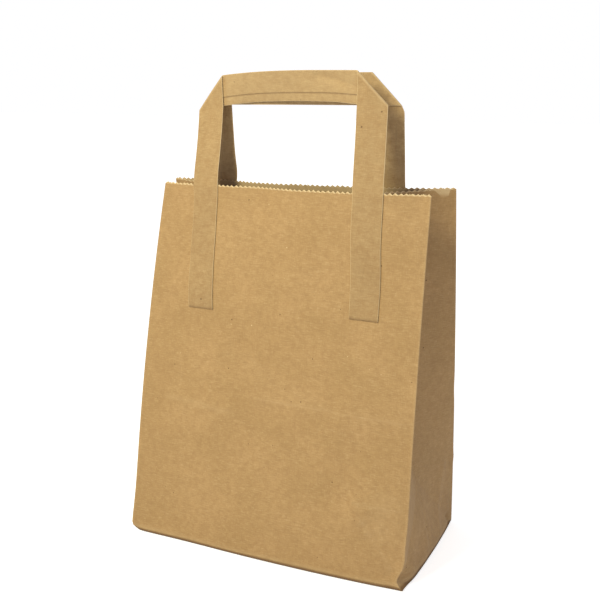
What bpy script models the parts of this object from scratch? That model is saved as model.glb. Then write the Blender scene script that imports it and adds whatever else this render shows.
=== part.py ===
"""Brown kraft paper carrier bag with a block bottom and two folded strip handles.

The bag body is one sheet: a tube with two pleated sides, folded shut below into a
block bottom and cut above with a pinking knife. Each handle is one strip, folded
flat, mitred at its two upper corners and glued to the outside of a wide panel.

Frame: the origin lies on the floor under the middle of the base. X runs along the
front panel, the front faces -Y and Z points up. Lengths are in metres.
"""

import math
from typing import NamedTuple

import bmesh
import bpy
import numpy as np

# Paper.
PLY = 0.00015
FOLD_RADIUS = 0.0004
CREASE_WIDTH = 0.0004

# Body, measured along the flat sheet.
PANEL_WIDTH = 0.180
GUSSET_DEPTH = 0.0937
PANEL_HEIGHT = 0.2184
LAP_SEAM_WIDTH = 0.013
LAP_SEAM_STEP = 0.0002

# Mouth of the open bag: gap between the wide panels at each side, how far forward
# or back the middle of that gap lies, and how far the mouth leans to the right.
MOUTH_GAP_LEFT = 0.0127
MOUTH_GAP_RIGHT = 0.0450
MOUTH_CENTRE_LEFT = 0.0042
MOUTH_CENTRE_RIGHT = -0.0023
MOUTH_SHIFT = 0.0016

# Soft curves of the standing paper.
FOLD_BOW_LEFT = 0.0047
FOLD_BOW_RIGHT = 0.0028
BASE_BULGE = 0.0035
SIDE_BULGE = 0.0013
FRONT_MIDDLE_BULGE = -0.0004
FRONT_MOUTH_BULGE = 0.0082
BACK_MIDDLE_BULGE = 0.0010
BACK_MOUTH_DIP = 0.0142
DIP_STEEPNESS = 1.5
DIP_SKEW = 1.8
GUSSET_SLACK = 0.0022

# Pinked rim.
TOOTH_PITCH = 0.0032
TOOTH_HEIGHT = 0.0011

# Block bottom: how far the outer flap passes the middle line, and the plies.
FLAP_LAP = 0.010
FLOOR_PLIES = 4
BASE_FOLD_RADIUS = 0.0003

# Handles. The glued lengths differ because each strip was stuck on slightly askew:
# the skew is how far a leg's glued end lies to the right of its place at the mouth.
STRIP_WIDTH = 0.0179
STRIP_PLIES = 4
STRIP_PLY = 0.00013
STRIP_SEAM = 0.0050
STRIP_SEAM_STEP = 0.0001
LEG_MARGIN = 0.0262
LEG_GLUED_LEFT = 0.0730
LEG_GLUED_RIGHT = 0.0684
LEG_FREE = 0.0470
GLUE_GAP = 0.00034
MITRE_GAP = 0.00012
FRONT_SKEW = (0.0034, 0.0018)
FRONT_FREE = (0.0465, 0.0471)
FRONT_BAR_Y = (0.0020, -0.0178)
FRONT_ARCH = 0.0027
FRONT_ARCH_SKEW = 0.5
BACK_SKEW = (0.0020, 0.0003)
BACK_FREE = (0.0464, 0.0471)
BACK_BAR_Y = (0.0085, -0.0003)
BACK_ARCH = 0.0002
BACK_ARCH_SKEW = 0.0

# Mesh fineness.
TEETH_PER_CELL = 2
UPPER_ROWS = 11
CORNER_STEPS = 4
CREASE_STEPS = 2
STRIP_COLUMNS = 4
STRIP_CELL = 0.010
MITRE_STEPS = 6
TINY = 1e-6

# Finish.
SHEET_COLOUR = (0.56, 0.35, 0.14)
STRIP_COLOUR = (0.60, 0.39, 0.17)
ROUGHNESS = 0.85

FRONT = -1
BACK = 1
LEFT = -1
RIGHT = 1

APEX = GUSSET_DEPTH / 2 / PANEL_HEIGHT
STRIP_THICKNESS = STRIP_PLIES * STRIP_PLY
MITRE_RADIUS = (STRIP_THICKNESS + MITRE_GAP) / 2
BAR_CLIMB = PANEL_HEIGHT + LEG_FREE
LEG_OUTER = PANEL_WIDTH / 2 - LEG_MARGIN
FLOOR = FLOOR_PLIES * PLY
MOUTH_GAP = {LEFT: MOUTH_GAP_LEFT, RIGHT: MOUTH_GAP_RIGHT}
MOUTH_CENTRE = {LEFT: MOUTH_CENTRE_LEFT, RIGHT: MOUTH_CENTRE_RIGHT}
FOLD_BOW = {LEFT: FOLD_BOW_LEFT, RIGHT: FOLD_BOW_RIGHT}


class Strip(NamedTuple):
    """How one handle strip stands; pairs are for its left and right leg."""

    side: int
    skew: tuple
    free: tuple
    bar_y: tuple
    arch: float
    arch_skew: float


FRONT_STRIP = Strip(FRONT, FRONT_SKEW, FRONT_FREE, FRONT_BAR_Y, FRONT_ARCH, FRONT_ARCH_SKEW)
BACK_STRIP = Strip(BACK, BACK_SKEW, BACK_FREE, BACK_BAR_Y, BACK_ARCH, BACK_ARCH_SKEW)


def mouth_y(side, end):
    """Y of one mouth corner: side is FRONT or BACK, end is LEFT or RIGHT."""
    return MOUTH_CENTRE[end] + side * MOUTH_GAP[end] / 2


def fold_line(side, end, rise):
    """Point on one of the four upright folds; rise runs from 0 at the base to 1."""
    spread = mouth_y(side, RIGHT) - mouth_y(side, LEFT)
    top_x = MOUTH_SHIFT + end * math.sqrt(PANEL_WIDTH ** 2 - spread ** 2) / 2
    base_x = end * PANEL_WIDTH / 2
    base_y = side * GUSSET_DEPTH / 2
    top_y = mouth_y(side, end)
    lean = math.hypot(top_x - base_x, top_y - base_y)
    top_z = math.sqrt(PANEL_HEIGHT ** 2 - lean ** 2)
    bow = side * FOLD_BOW[end] * 4 * rise * (1 - rise)
    x = base_x + (top_x - base_x) * rise
    y = base_y + (top_y - base_y) * rise + bow
    return np.stack([x, y, top_z * rise], axis=-1)


def panel_bulge(side, across, rise):
    """How far a wide panel stands out from the chord between its two folds.

    The front runs as a parabola through its bulge at the base, at mid height and
    at the mouth. The back dips inwards towards its mouth.
    """
    arch = 4 * across * (1 - across)
    base = (1 - rise) * (1 - 2 * rise)
    middle = 4 * rise * (1 - rise)
    mouth = rise * (2 * rise - 1)
    if side == FRONT:
        swell = base * BASE_BULGE + middle * FRONT_MIDDLE_BULGE + mouth * FRONT_MOUTH_BULGE
        return swell * arch
    dip = BACK_MOUTH_DIP * rise ** DIP_STEEPNESS * np.sin(math.pi * across ** DIP_SKEW)
    return (base * BASE_BULGE + middle * BACK_MIDDLE_BULGE) * arch - dip


def panel_point(side, across, rise):
    """Point on a wide panel; across runs from 0 at the left fold to 1 at the right."""
    across, rise = np.broadcast_arrays(across, rise)
    left = fold_line(side, LEFT, rise)
    right = fold_line(side, RIGHT, rise)
    point = left + (right - left) * across[..., None]
    point[..., 1] += side * panel_bulge(side, across, rise)
    return point


def pleat_depth(end, rise):
    """Depth of a gusset's middle crease behind the chord between its two folds."""
    gap = fold_line(BACK, end, rise)[..., 1] - fold_line(FRONT, end, rise)[..., 1]
    slack = GUSSET_SLACK * (1 - rise) / (1 - APEX)
    reach = GUSSET_DEPTH / 2 - slack
    return np.sqrt(np.maximum(reach ** 2 - (gap / 2) ** 2, 0))


def gusset_point(end, across, rise):
    """Point on a pleated side; across runs from -1 at the front fold to 1 at the back.

    Above the apex the side is a V. Below it, two creases run from the apex to the
    base corners, and the triangle between them leans in towards the apex.
    """
    across, rise = np.broadcast_arrays(across, rise)
    front = fold_line(FRONT, end, rise)
    back = fold_line(BACK, end, rise)
    point = front + (back - front) * ((across + 1) / 2)[..., None]
    climb = np.clip(rise / APEX, TINY, 1)
    depth = pleat_depth(end, np.maximum(rise, APEX)) * climb
    depth = depth * np.clip((1 - np.abs(across)) / climb, 0, 1)
    depth = depth - SIDE_BULGE * (1 - across ** 2) * (1 - climb)
    point[..., 0] -= end * depth
    return point


def fold_cap(before, corner, after, radius, steps, flat=0.0):
    """Round a fold: steps + 1 points on a small arc whose tip is the corner.

    A positive radius bulges outwards and a negative one inwards. The loop runs
    counter-clockwise seen from above, so outwards is to the right of its travel.
    """
    arriving = (corner - before)[..., :2]
    leaving = (after - corner)[..., :2]
    start = np.arctan2(-arriving[..., 0], arriving[..., 1])
    finish = np.arctan2(-leaving[..., 0], leaving[..., 1])
    turn = (finish - start + math.pi) % (2 * math.pi) - math.pi
    middle = start + turn / 2
    share = np.linspace(0, 1, steps + 1)
    angle = start[:, None] + turn[:, None] * share
    cap = np.repeat(corner[:, None, :], steps + 1, axis=1)
    spread = flat * (share - 0.5)
    cap[..., 0] += radius * (np.cos(angle) - np.cos(middle)[:, None])
    cap[..., 1] += radius * (np.sin(angle) - np.sin(middle)[:, None])
    cap[..., 0] -= spread * np.sin(middle)[:, None]
    cap[..., 1] += spread * np.cos(middle)[:, None]
    return cap


def panel_columns():
    """Evenly spaced column places across a panel, one cell for every few teeth."""
    cells = max(4, round(PANEL_WIDTH / TOOTH_PITCH / TEETH_PER_CELL))
    return np.linspace(0, 1, cells + 1)


def pleat_columns():
    """Evenly spaced column places across half a gusset, fold to crease."""
    cells = max(3, round(GUSSET_DEPTH / 2 / TOOTH_PITCH / TEETH_PER_CELL))
    return np.linspace(0, 1, cells + 1)


def rises():
    """Row heights: a square grid up to the apex, then even rows up to the mouth."""
    lower = np.linspace(0, APEX, len(pleat_columns()))
    upper = np.linspace(APEX, 1, UPPER_ROWS + 1)
    return np.concatenate([lower, upper[1:]])


def back_columns():
    """Columns of the back panel from right to left, doubled at the seam's free edge."""
    places = panel_columns()[::-1]
    edge = 0.5 + LAP_SEAM_WIDTH / 2 / PANEL_WIDTH
    nearest = int(np.argmin(np.abs(places - edge)))
    step = LAP_SEAM_STEP / PANEL_WIDTH
    return np.insert(places, nearest + 1, places[nearest] - step), nearest


def body_loops():
    """Middle surface of the sheet as rows of closed loops, with notes on each column.

    Returns the points, a flag for each column that starts a long cell, the extra
    thickness of each column and the first column of each named stretch.
    """
    rise = rises()
    front_places = panel_columns()[1:-1]
    back_places, seam = back_columns()
    pleat = pleat_columns()[1:-1]
    grid = rise[:, None]
    corners = {(s, e): fold_line(s, e, rise) for s in (FRONT, BACK) for e in (LEFT, RIGHT)}
    front = panel_point(FRONT, front_places[None, :], grid)
    back = panel_point(BACK, back_places[None, 1:-1], grid)
    halves = {}
    creases = {}
    for end in (LEFT, RIGHT):
        halves[end, FRONT] = gusset_point(end, (pleat - 1)[None, :], grid)
        halves[end, BACK] = gusset_point(end, (1 - pleat[::-1])[None, :], grid)
        creases[end] = gusset_point(end, np.zeros((1, 1)), grid)[:, 0]

    def corner(before, place, after):
        return fold_cap(before, corners[place], after, FOLD_RADIUS, CORNER_STEPS)

    def crease(before, end, after):
        point = creases[end]
        return fold_cap(before, point, after, -FOLD_RADIUS, CREASE_STEPS, CREASE_WIDTH)

    right_front, right_back = halves[RIGHT, FRONT], halves[RIGHT, BACK]
    left_front, left_back = halves[LEFT, FRONT][:, ::-1], halves[LEFT, BACK][:, ::-1]
    stretches = [
        ("front_left", corner(left_front[:, -1], (FRONT, LEFT), front[:, 0])),
        ("front", front),
        ("front_right", corner(front[:, -1], (FRONT, RIGHT), right_front[:, 0])),
        ("right_front", right_front),
        ("right_crease", crease(right_front[:, -1], RIGHT, right_back[:, 0])),
        ("right_back", right_back),
        ("back_right", corner(right_back[:, -1], (BACK, RIGHT), back[:, 0])),
        ("back", back),
        ("back_left", corner(back[:, -1], (BACK, LEFT), left_back[:, 0])),
        ("left_back", left_back),
        ("left_crease", crease(left_back[:, -1], LEFT, left_front[:, 0])),
        ("left_front", left_front),
    ]
    starts = {}
    count = 0
    for name, points in stretches:
        starts[name] = count
        count += points.shape[1]
    loops = np.concatenate([points for _, points in stretches], axis=1)
    extra = np.zeros(count)
    seam_column = starts["back"] + seam
    lap_cells = max(1, round(LAP_SEAM_WIDTH / PANEL_WIDTH * (len(panel_columns()) - 1)))
    extra[seam_column:seam_column + lap_cells] = PLY
    lengths = np.linalg.norm(np.roll(loops[-1], -1, axis=0) - loops[-1], axis=1)
    return loops, lengths > TOOTH_PITCH, extra, starts


def loop_normals(loops):
    """Outward unit normals of rows of closed loops."""
    along = np.roll(loops, -1, axis=1) - np.roll(loops, 1, axis=1)
    up = np.gradient(loops, axis=0)
    normal = np.cross(along, up)
    return normal / np.linalg.norm(normal, axis=-1, keepdims=True)


class Shell:
    """Collects points and triangles of one closed piece."""

    def __init__(self):
        self.points = []
        self.faces = []

    def add(self, points):
        """Add points, and return their numbers."""
        first = len(self.points)
        self.points.extend(tuple(float(c) for c in p) for p in points)
        return list(range(first, len(self.points)))

    def band(self, lower, upper):
        """Join two closed loops of equally many points with split squares."""
        count = len(lower)
        for i in range(count):
            j = (i + 1) % count
            self.faces.append((lower[i], lower[j], upper[j]))
            self.faces.append((lower[i], upper[j], upper[i]))

    def polygon(self, loop):
        """Fill a simple polygon, which may be hollow in places."""
        self.faces.append(tuple(loop))


def pinked_band(shell, lower, upper, cells, rows):
    """Last band of a wall, up to the teeth; returns the numbers of the rim points.

    The teeth carry on in the direction in which the paper reaches the mouth.
    """
    mouth = rows[-1]
    climb = mouth - rows[-2]
    climb = climb / np.linalg.norm(climb, axis=1, keepdims=True)
    rim = []
    count = len(lower)
    for i in range(count):
        j = (i + 1) % count
        rim.append(upper[i])
        if not cells[i]:
            shell.faces.append((lower[i], lower[j], upper[j]))
            shell.faces.append((lower[i], upper[j], upper[i]))
            continue
        start, end = mouth[i], mouth[j]
        parts = 2 * TEETH_PER_CELL
        inner = []
        for k in range(1, parts):
            place = start + (end - start) * k / parts
            if k % 2:
                place = place + climb[i] * TOOTH_HEIGHT
            inner.append(place)
        numbers = shell.add(inner)
        valleys = [upper[i]] + numbers[1::2] + [upper[j]]
        peaks = numbers[0::2]
        shell.faces.append((lower[i], lower[j], valleys[1]))
        shell.faces.append((lower[i], valleys[1], valleys[0]))
        for a, b in zip(valleys[1:-1], valleys[2:]):
            shell.faces.append((lower[j], b, a))
        for a, b, peak in zip(valleys[:-1], valleys[1:], peaks):
            shell.faces.append((a, b, peak))
        rim.extend(numbers)
    return rim


def underside(shell, loop, starts):
    """Close the bottom outside with the folded flaps, as seen from below.

    The outer flap lies flat. The inner flap and the two end triangles rise a ply
    or two towards the middle, where the flaps cover them.
    """
    half = CORNER_STEPS // 2
    front_left = starts["front_left"] + half
    front_right = starts["front_right"] + half
    back_right = starts["back_right"] + half
    back_left = starts["back_left"] + half
    count = len(loop)
    front_edge = loop[front_left:front_right + 1]
    right_edge = loop[front_right:back_right + 1]
    back_edge = loop[back_right:back_left + 1]
    left_edge = [loop[i % count] for i in range(back_left, count + front_left + 1)]

    apex_x = PANEL_WIDTH / 2 - GUSSET_DEPTH / 2
    tip_x = apex_x - FLAP_LAP
    teeth = max(2, round(2 * tip_x / TOOTH_PITCH))
    across = np.linspace(tip_x, -tip_x, 2 * teeth + 1)
    depth = np.where(np.arange(len(across)) % 2 == 1, FLAP_LAP + TOOTH_HEIGHT, FLAP_LAP)
    outline = [(apex_x, 0.0)] + list(zip(across, depth)) + [(-apex_x, 0.0)]

    def inner_level(y):
        return PLY * (1 - y / (GUSSET_DEPTH / 2))

    outer = shell.add([(x, y, 0.0) for x, y in outline])
    inner = shell.add([(x, y, inner_level(y)) for x, y in outline])
    right_apex, left_apex = shell.add([(apex_x, 0, 2 * PLY), (-apex_x, 0, 2 * PLY)])
    shell.polygon(front_edge + outer)
    shell.polygon(back_edge + inner[::-1])
    shell.polygon(right_edge + [right_apex])
    shell.polygon(left_edge + [left_apex])
    for a, b, c, d in zip(outer[:-1], outer[1:], inner[1:], inner[:-1]):
        shell.faces.append((a, b, c))
        shell.faces.append((a, c, d))
    shell.faces.append((loop[front_right], outer[0], inner[0]))
    shell.faces.append((loop[front_right], inner[0], right_apex))
    shell.faces.append((loop[back_right], inner[0], right_apex))
    shell.faces.append((loop[front_left], outer[-1], inner[-1]))
    shell.faces.append((loop[front_left], inner[-1], left_apex))
    shell.faces.append((loop[back_left], inner[-1], left_apex))


def body_shell():
    """The whole folded sheet as one closed wall."""
    loops, cells, extra, starts = body_loops()
    normals = loop_normals(loops)
    half = PLY / 2
    outside = loops + normals * (half + extra)[None, :, None]
    inside = loops - normals * half
    outside[0, :, 2] = BASE_FOLD_RADIUS
    inside[0, :, 2] = FLOOR

    flat_normals = normals[0] * np.array([1, 1, 0])
    flat_normals /= np.linalg.norm(flat_normals, axis=1, keepdims=True)
    turned = outside[0] - flat_normals * BASE_FOLD_RADIUS * (1 - math.sqrt(0.5))
    turned[:, 2] = BASE_FOLD_RADIUS * (1 - math.sqrt(0.5))
    sole = outside[0] - flat_normals * BASE_FOLD_RADIUS
    sole[:, 2] = 0.0

    shell = Shell()
    sole_loop = shell.add(sole)
    outer = [shell.add(turned)] + [shell.add(row) for row in outside]
    shell.band(sole_loop, outer[0])
    for lower, upper in zip(outer[:-2], outer[1:-1]):
        shell.band(lower, upper)
    outer_rim = pinked_band(shell, outer[-2], outer[-1], cells, outside)
    underside(shell, sole_loop, starts)

    inner = [shell.add(row) for row in inside]
    for lower, upper in zip(inner[:-2], inner[1:-1]):
        shell.band(lower, upper)
    inner_rim = pinked_band(shell, inner[-2], inner[-1], cells, inside)
    shell.band(outer_rim, inner_rim)
    shell.polygon(inner[0])
    return shell


def mitre(beyond, radius):
    """Fold a flat strip over a line: distance past the line to place and height.

    Before the line the strip lies flat, on the line it turns through half a
    circle, and past it the strip lies on its own back, two radii higher.
    """
    quarter = math.pi * radius / 2
    along = beyond + quarter
    arc = np.clip(along, 0, 2 * quarter)
    place = radius * np.sin(arc / radius) - quarter
    place = place + np.minimum(along, 0) - np.maximum(along - 2 * quarter, 0)
    height = radius * (1 - np.cos(arc / radius))
    return place, height


def handle_place(strip, x, climb, lift):
    """World point of a flat handle place.

    x is the place along the bag's width, climb the height along the sheet and
    lift the height above the panel's middle surface, outwards.
    """
    reach = LEG_OUTER - STRIP_WIDTH / 2
    share = (x + reach) / (2 * reach)
    skew_left, skew_right = strip.skew
    skew = (skew_left + (skew_right - skew_left) * share) / LEG_GLUED_LEFT
    across = (x + skew * (PANEL_HEIGHT - np.minimum(climb, BAR_CLIMB))) / PANEL_WIDTH + 0.5
    point = panel_point(strip.side, across, np.minimum(climb / PANEL_HEIGHT, 1))

    legs = np.array([-reach, reach]) / PANEL_WIDTH + 0.5
    foot = panel_point(strip.side, legs, np.ones(2))
    rise = np.sqrt(np.array(strip.free) ** 2 - (np.array(strip.bar_y) - foot[:, 1]) ** 2)
    top = foot[:, 2] + rise
    bar_y = strip.bar_y[0] + (strip.bar_y[1] - strip.bar_y[0]) * share
    bar_z = top[0] + (top[1] - top[0]) * share
    outward = np.clip(x / LEG_OUTER, -1, 1)
    bar_z = bar_z + strip.arch * (1 - outward ** 2) * (1 - strip.arch_skew * outward)

    free = np.clip((climb - PANEL_HEIGHT) / LEG_FREE, 0, 1)
    point[..., 1] += (bar_y - point[..., 1]) * free + strip.side * lift
    point[..., 2] += (bar_z - point[..., 2]) * free + np.maximum(climb - BAR_CLIMB, 0)
    return point


def half_strip(glued):
    """Flat places of half a strip, from the end of a leg to the middle of the bar.

    Returns rows of (x, climb) columns. Rows turn from square across the leg to
    slanting along the mitre, and back to square at the middle of the bar.
    """
    column = np.linspace(0, 1, STRIP_COLUMNS + 1)
    quarter = math.pi * MITRE_RADIUS / math.sqrt(2)
    slant = STRIP_WIDTH * column

    def between(low, high, cell):
        steps = max(1, math.ceil(float(np.max(np.abs(high - low))) / cell))
        return [low + (high - low) * k / steps for k in range(steps)]

    ones = np.ones(STRIP_COLUMNS + 1)
    rows = between(ones * (PANEL_HEIGHT - glued), ones * PANEL_HEIGHT, STRIP_CELL)
    before = BAR_CLIMB + slant - quarter
    after = BAR_CLIMB + slant + quarter
    middle = ones * (BAR_CLIMB + LEG_OUTER)
    rows += between(ones * PANEL_HEIGHT, before, STRIP_CELL)
    rows += between(before, after, 2 * quarter / MITRE_STEPS)
    rows += between(after, middle, STRIP_CELL)
    rows.append(middle)
    return column, np.array(rows)


def handle_shell(strip):
    """One folded strip: leg, mitre, bar, mitre, leg."""
    shell = Shell()
    edge = STRIP_THICKNESS / 2
    rings = []
    for end, glued in ((LEFT, LEG_GLUED_LEFT), (RIGHT, LEG_GLUED_RIGHT)):
        column, rows = half_strip(glued)
        seam = STRIP_SEAM / STRIP_WIDTH
        face = edge / STRIP_WIDTH + column * (1 - 2 * edge / STRIP_WIDTH)
        step = STRIP_SEAM_STEP / STRIP_WIDTH
        hidden = np.sort(np.concatenate([face, [seam - step, seam + step]]))
        over = np.where(hidden < seam, edge - STRIP_SEAM_STEP, edge)
        places = np.concatenate([[0], face, [1], hidden[::-1]])
        lifts = np.concatenate([[0], np.full(len(face), edge), [0], -over[::-1]])
        climb = np.stack([np.interp(places, column, row) for row in rows])
        x = np.broadcast_to(LEG_OUTER - STRIP_WIDTH * places, climb.shape)
        line = BAR_CLIMB + LEG_OUTER - x
        beyond = (climb - line) / math.sqrt(2)
        place, height = mitre(beyond, MITRE_RADIUS)
        slope = np.clip(beyond / MITRE_RADIUS + math.pi / 2, 0, math.pi)
        shift = (place - beyond) + lifts * np.sin(slope)
        lift = lifts * np.cos(slope) - height
        x = x + shift / math.sqrt(2)
        climb = climb + shift / math.sqrt(2)
        lift = lift + edge + GLUE_GAP + PLY / 2
        rings.append(handle_place(strip, end * x, climb, lift))
    left, right = rings
    joined = list(left) + list(right[-2::-1])
    loops = [shell.add(ring) for ring in joined]
    for lower, upper in zip(loops[:-1], loops[1:]):
        shell.band(lower, upper)
    shell.polygon(loops[0])
    shell.polygon(loops[-1])
    return shell


def paper_material(name, colour):
    """A matt kraft paper finish."""
    material = bpy.data.materials.new(name)
    material.use_nodes = True
    shader = material.node_tree.nodes["Principled BSDF"]
    shader.inputs["Base Color"].default_value = (*colour, 1.0)
    shader.inputs["Roughness"].default_value = ROUGHNESS
    shader.inputs["Metallic"].default_value = 0.0
    return material


def make_piece(name, shell, material):
    """Turn a closed shell into a named object of triangles that all face outwards."""
    mesh = bpy.data.meshes.new(name)
    mesh.from_pydata(shell.points, [], shell.faces)
    mesh.materials.append(material)
    work = bmesh.new()
    work.from_mesh(mesh)
    bmesh.ops.triangulate(work, faces=work.faces, ngon_method="EAR_CLIP")
    bmesh.ops.recalc_face_normals(work, faces=work.faces)
    work.to_mesh(mesh)
    work.free()
    piece = bpy.data.objects.new(name, mesh)
    bpy.context.scene.collection.objects.link(piece)
    return piece


def build():
    """Build the bag body and its two handles."""
    for old in list(bpy.data.objects):
        bpy.data.objects.remove(old, do_unlink=True)
    sheet = paper_material("kraft_sheet", SHEET_COLOUR)
    front_strip = paper_material("kraft_front_strip", STRIP_COLOUR)
    back_strip = paper_material("kraft_back_strip", STRIP_COLOUR)
    make_piece("bag_body", body_shell(), sheet)
    make_piece("front_handle", handle_shell(FRONT_STRIP), front_strip)
    make_piece("back_handle", handle_shell(BACK_STRIP), back_strip)


build()
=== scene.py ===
"""Brown kraft paper carrier bag with folded strip handles, dressed for its picture.

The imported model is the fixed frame. Every surface here is worked out with numpy in
millimetres, as a function of two parameters, and written to its mesh in metres.
X runs along the front panel, the front faces -Y, Z points up, and the origin lies
on the floor under the middle of the base.
"""

import logging
import math
from dataclasses import dataclass
from enum import Enum

import bpy
import numpy as np
from mathutils import Matrix, Vector


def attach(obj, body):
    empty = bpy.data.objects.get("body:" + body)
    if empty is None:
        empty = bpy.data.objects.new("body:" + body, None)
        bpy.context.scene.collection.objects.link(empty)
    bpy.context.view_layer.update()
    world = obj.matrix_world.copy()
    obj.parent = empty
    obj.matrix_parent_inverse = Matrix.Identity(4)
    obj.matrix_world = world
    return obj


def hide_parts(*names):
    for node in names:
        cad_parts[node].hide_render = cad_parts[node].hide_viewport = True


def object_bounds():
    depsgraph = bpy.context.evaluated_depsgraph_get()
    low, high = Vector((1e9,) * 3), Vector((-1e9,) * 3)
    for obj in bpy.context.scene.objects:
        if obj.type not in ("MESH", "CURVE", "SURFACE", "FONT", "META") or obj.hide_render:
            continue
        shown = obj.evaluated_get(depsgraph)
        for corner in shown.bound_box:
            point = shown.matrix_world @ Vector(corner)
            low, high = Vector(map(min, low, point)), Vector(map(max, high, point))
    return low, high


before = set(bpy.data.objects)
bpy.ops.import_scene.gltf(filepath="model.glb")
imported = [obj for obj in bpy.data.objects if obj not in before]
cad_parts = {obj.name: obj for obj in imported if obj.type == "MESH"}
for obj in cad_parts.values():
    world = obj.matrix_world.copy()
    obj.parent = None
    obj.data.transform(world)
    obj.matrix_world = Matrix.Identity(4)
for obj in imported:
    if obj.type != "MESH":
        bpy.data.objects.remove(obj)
CAD_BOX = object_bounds()

LOG = logging.getLogger("paper_bag")
BODY = "root"
MM = 0.001
TINY = 1e-9

Pair = tuple[float, float]
Triple = tuple[float, float, float]
Span = tuple[float, float, float, float]
Colour = tuple[float, float, float, float]
Socket = bpy.types.NodeSocket
Shaded = bpy.types.Material | bpy.types.World


# The bag's sides
class Side(Enum):
    """The two wide panels, with the sign of the way that each faces along Y."""

    FRONT = -1
    BACK = 1


class End(Enum):
    """The two pleated sides, with the sign of the way that each faces along X."""

    LEFT = -1
    RIGHT = 1

    def of(self, pair: Pair) -> float:
        """The value for this end in a (left, right) pair."""
        return pair[0] if self is End.LEFT else pair[1]


# Curves
def ease(share: np.ndarray) -> np.ndarray:
    """Cubic step: three squares less two cubes of the share, held at 0 and 1 outside."""
    held = np.clip(share, 0.0, 1.0)
    return held * held * (3.0 - 2.0 * held)


def bell(distance: np.ndarray, spread: float) -> np.ndarray:
    """Bell curve: e to the minus square of distance over spread."""
    return np.exp(-((distance / spread) ** 2))


def unit(vectors: np.ndarray) -> np.ndarray:
    """Each vector divided by its length."""
    return vectors / np.maximum(np.linalg.norm(vectors, axis=-1, keepdims=True), TINY)


# Marks in the paper
@dataclass(frozen=True)
class Crease:
    """A straight fold mark pressed into the sheet, in mm on the flat sheet.

    It is a ridge where height is positive and a valley where it is negative. The
    flanks die away over their own reach, left and right of the way it runs.
    """

    start: Pair
    finish: Pair
    height: float
    reach: Pair
    radius: float = 0.7
    fade: float = 7.0
    # The wear field pales the paper along the line: partly rubbed wear, partly painted highlight standing
    # in for the light that a crease catches.
    wear_and_highlight: float = 0.0
    wear_and_highlight_width: float = 0.6

    def relief(self, across: np.ndarray, climb: np.ndarray) -> np.ndarray:
        """Height of the mark at places on the sheet.

        Formula: height times e to the minus rounded distance over reach, times an
        easing over the fade length at both ends.

        Args:
            across: distance along the panel, mm.
            climb: height along the sheet, mm.

        Returns:
            How far the sheet stands out there, mm.
        """
        off, ends = self.frame(across, climb)
        rounded = np.sqrt(off * off + self.radius ** 2) - self.radius
        flank = np.exp(-rounded / np.where(off < 0, self.reach[0], self.reach[1]))
        return self.height * flank * ends

    def frame(self, across: np.ndarray, climb: np.ndarray) -> tuple[np.ndarray, np.ndarray]:
        """Distance of places from the mark's line, and its easing at both ends.

        Args:
            across: distance along the panel, mm.
            climb: height along the sheet, mm.

        Returns:
            The distance to the right of the way it runs, mm, and the easing, 0 to 1.
        """
        run = math.hypot(self.finish[0] - self.start[0], self.finish[1] - self.start[1])
        step_x = (self.finish[0] - self.start[0]) / run
        step_y = (self.finish[1] - self.start[1]) / run
        along = (across - self.start[0]) * step_x + (climb - self.start[1]) * step_y
        off = (across - self.start[0]) * step_y - (climb - self.start[1]) * step_x
        ends = ease((along + self.fade) / self.fade) * ease((run + self.fade - along) / self.fade)
        return off, ends

    def worn_and_lit(self, across: np.ndarray, climb: np.ndarray) -> np.ndarray:
        """Pale wear and painted highlight: the wear times a bell across the line, eased at its ends."""
        off, ends = self.frame(across, climb)
        return self.wear_and_highlight * bell(off, self.wear_and_highlight_width) * ends


@dataclass(frozen=True)
class Waves:
    """Soft unevenness of handled paper: crossed sine waves of seeded directions.

    Each wave's own length is a share of the length, the shortest share or longer.
    """

    seed: int
    height: float
    length: float
    count: int = 7
    shortest: float = 0.7
    spread: float = 0.9

    def relief(self, across: np.ndarray, climb: np.ndarray) -> np.ndarray:
        """Sum of sines of the distance along each wave's own direction.

        Args:
            across: distance along the panel, mm.
            climb: height along the sheet, mm.

        Returns:
            How far the sheet stands out there, mm.
        """
        random = np.random.default_rng(self.seed)
        turn, phase, longer = random.uniform(0.0, 1.0, (3, self.count))
        lengths = self.length * (self.shortest + self.spread * longer)
        total = np.zeros(np.broadcast(across, climb).shape)
        for angle, start, length in zip(turn * math.pi, phase * 2 * math.pi, lengths):
            run = across * math.cos(angle) + climb * math.sin(angle)
            total = total + np.sin(2 * math.pi * run / length + start)
        return self.height * total / math.sqrt(self.count)


@dataclass(frozen=True)
class Dimple:
    """A soft round push on a wide panel: where, how wide and how high, mm."""

    centre: Pair
    spread: Pair
    height: float

    def relief(self, across: np.ndarray, climb: np.ndarray) -> np.ndarray:
        """Height times a bell of the distance each way.

        Args:
            across: distance along the panel, mm.
            climb: height along the sheet, mm.

        Returns:
            How far the sheet stands out there, mm.
        """
        sideways = bell(across - self.centre[0], self.spread[0])
        return self.height * sideways * bell(climb - self.centre[1], self.spread[1])


@dataclass(frozen=True)
class Dent:
    """A push on one upright fold: where along it, how far, and how wide it spreads."""

    side: Side
    end: End
    climb: float
    spread: float
    push: Pair
    reach: float = 12.0


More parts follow.
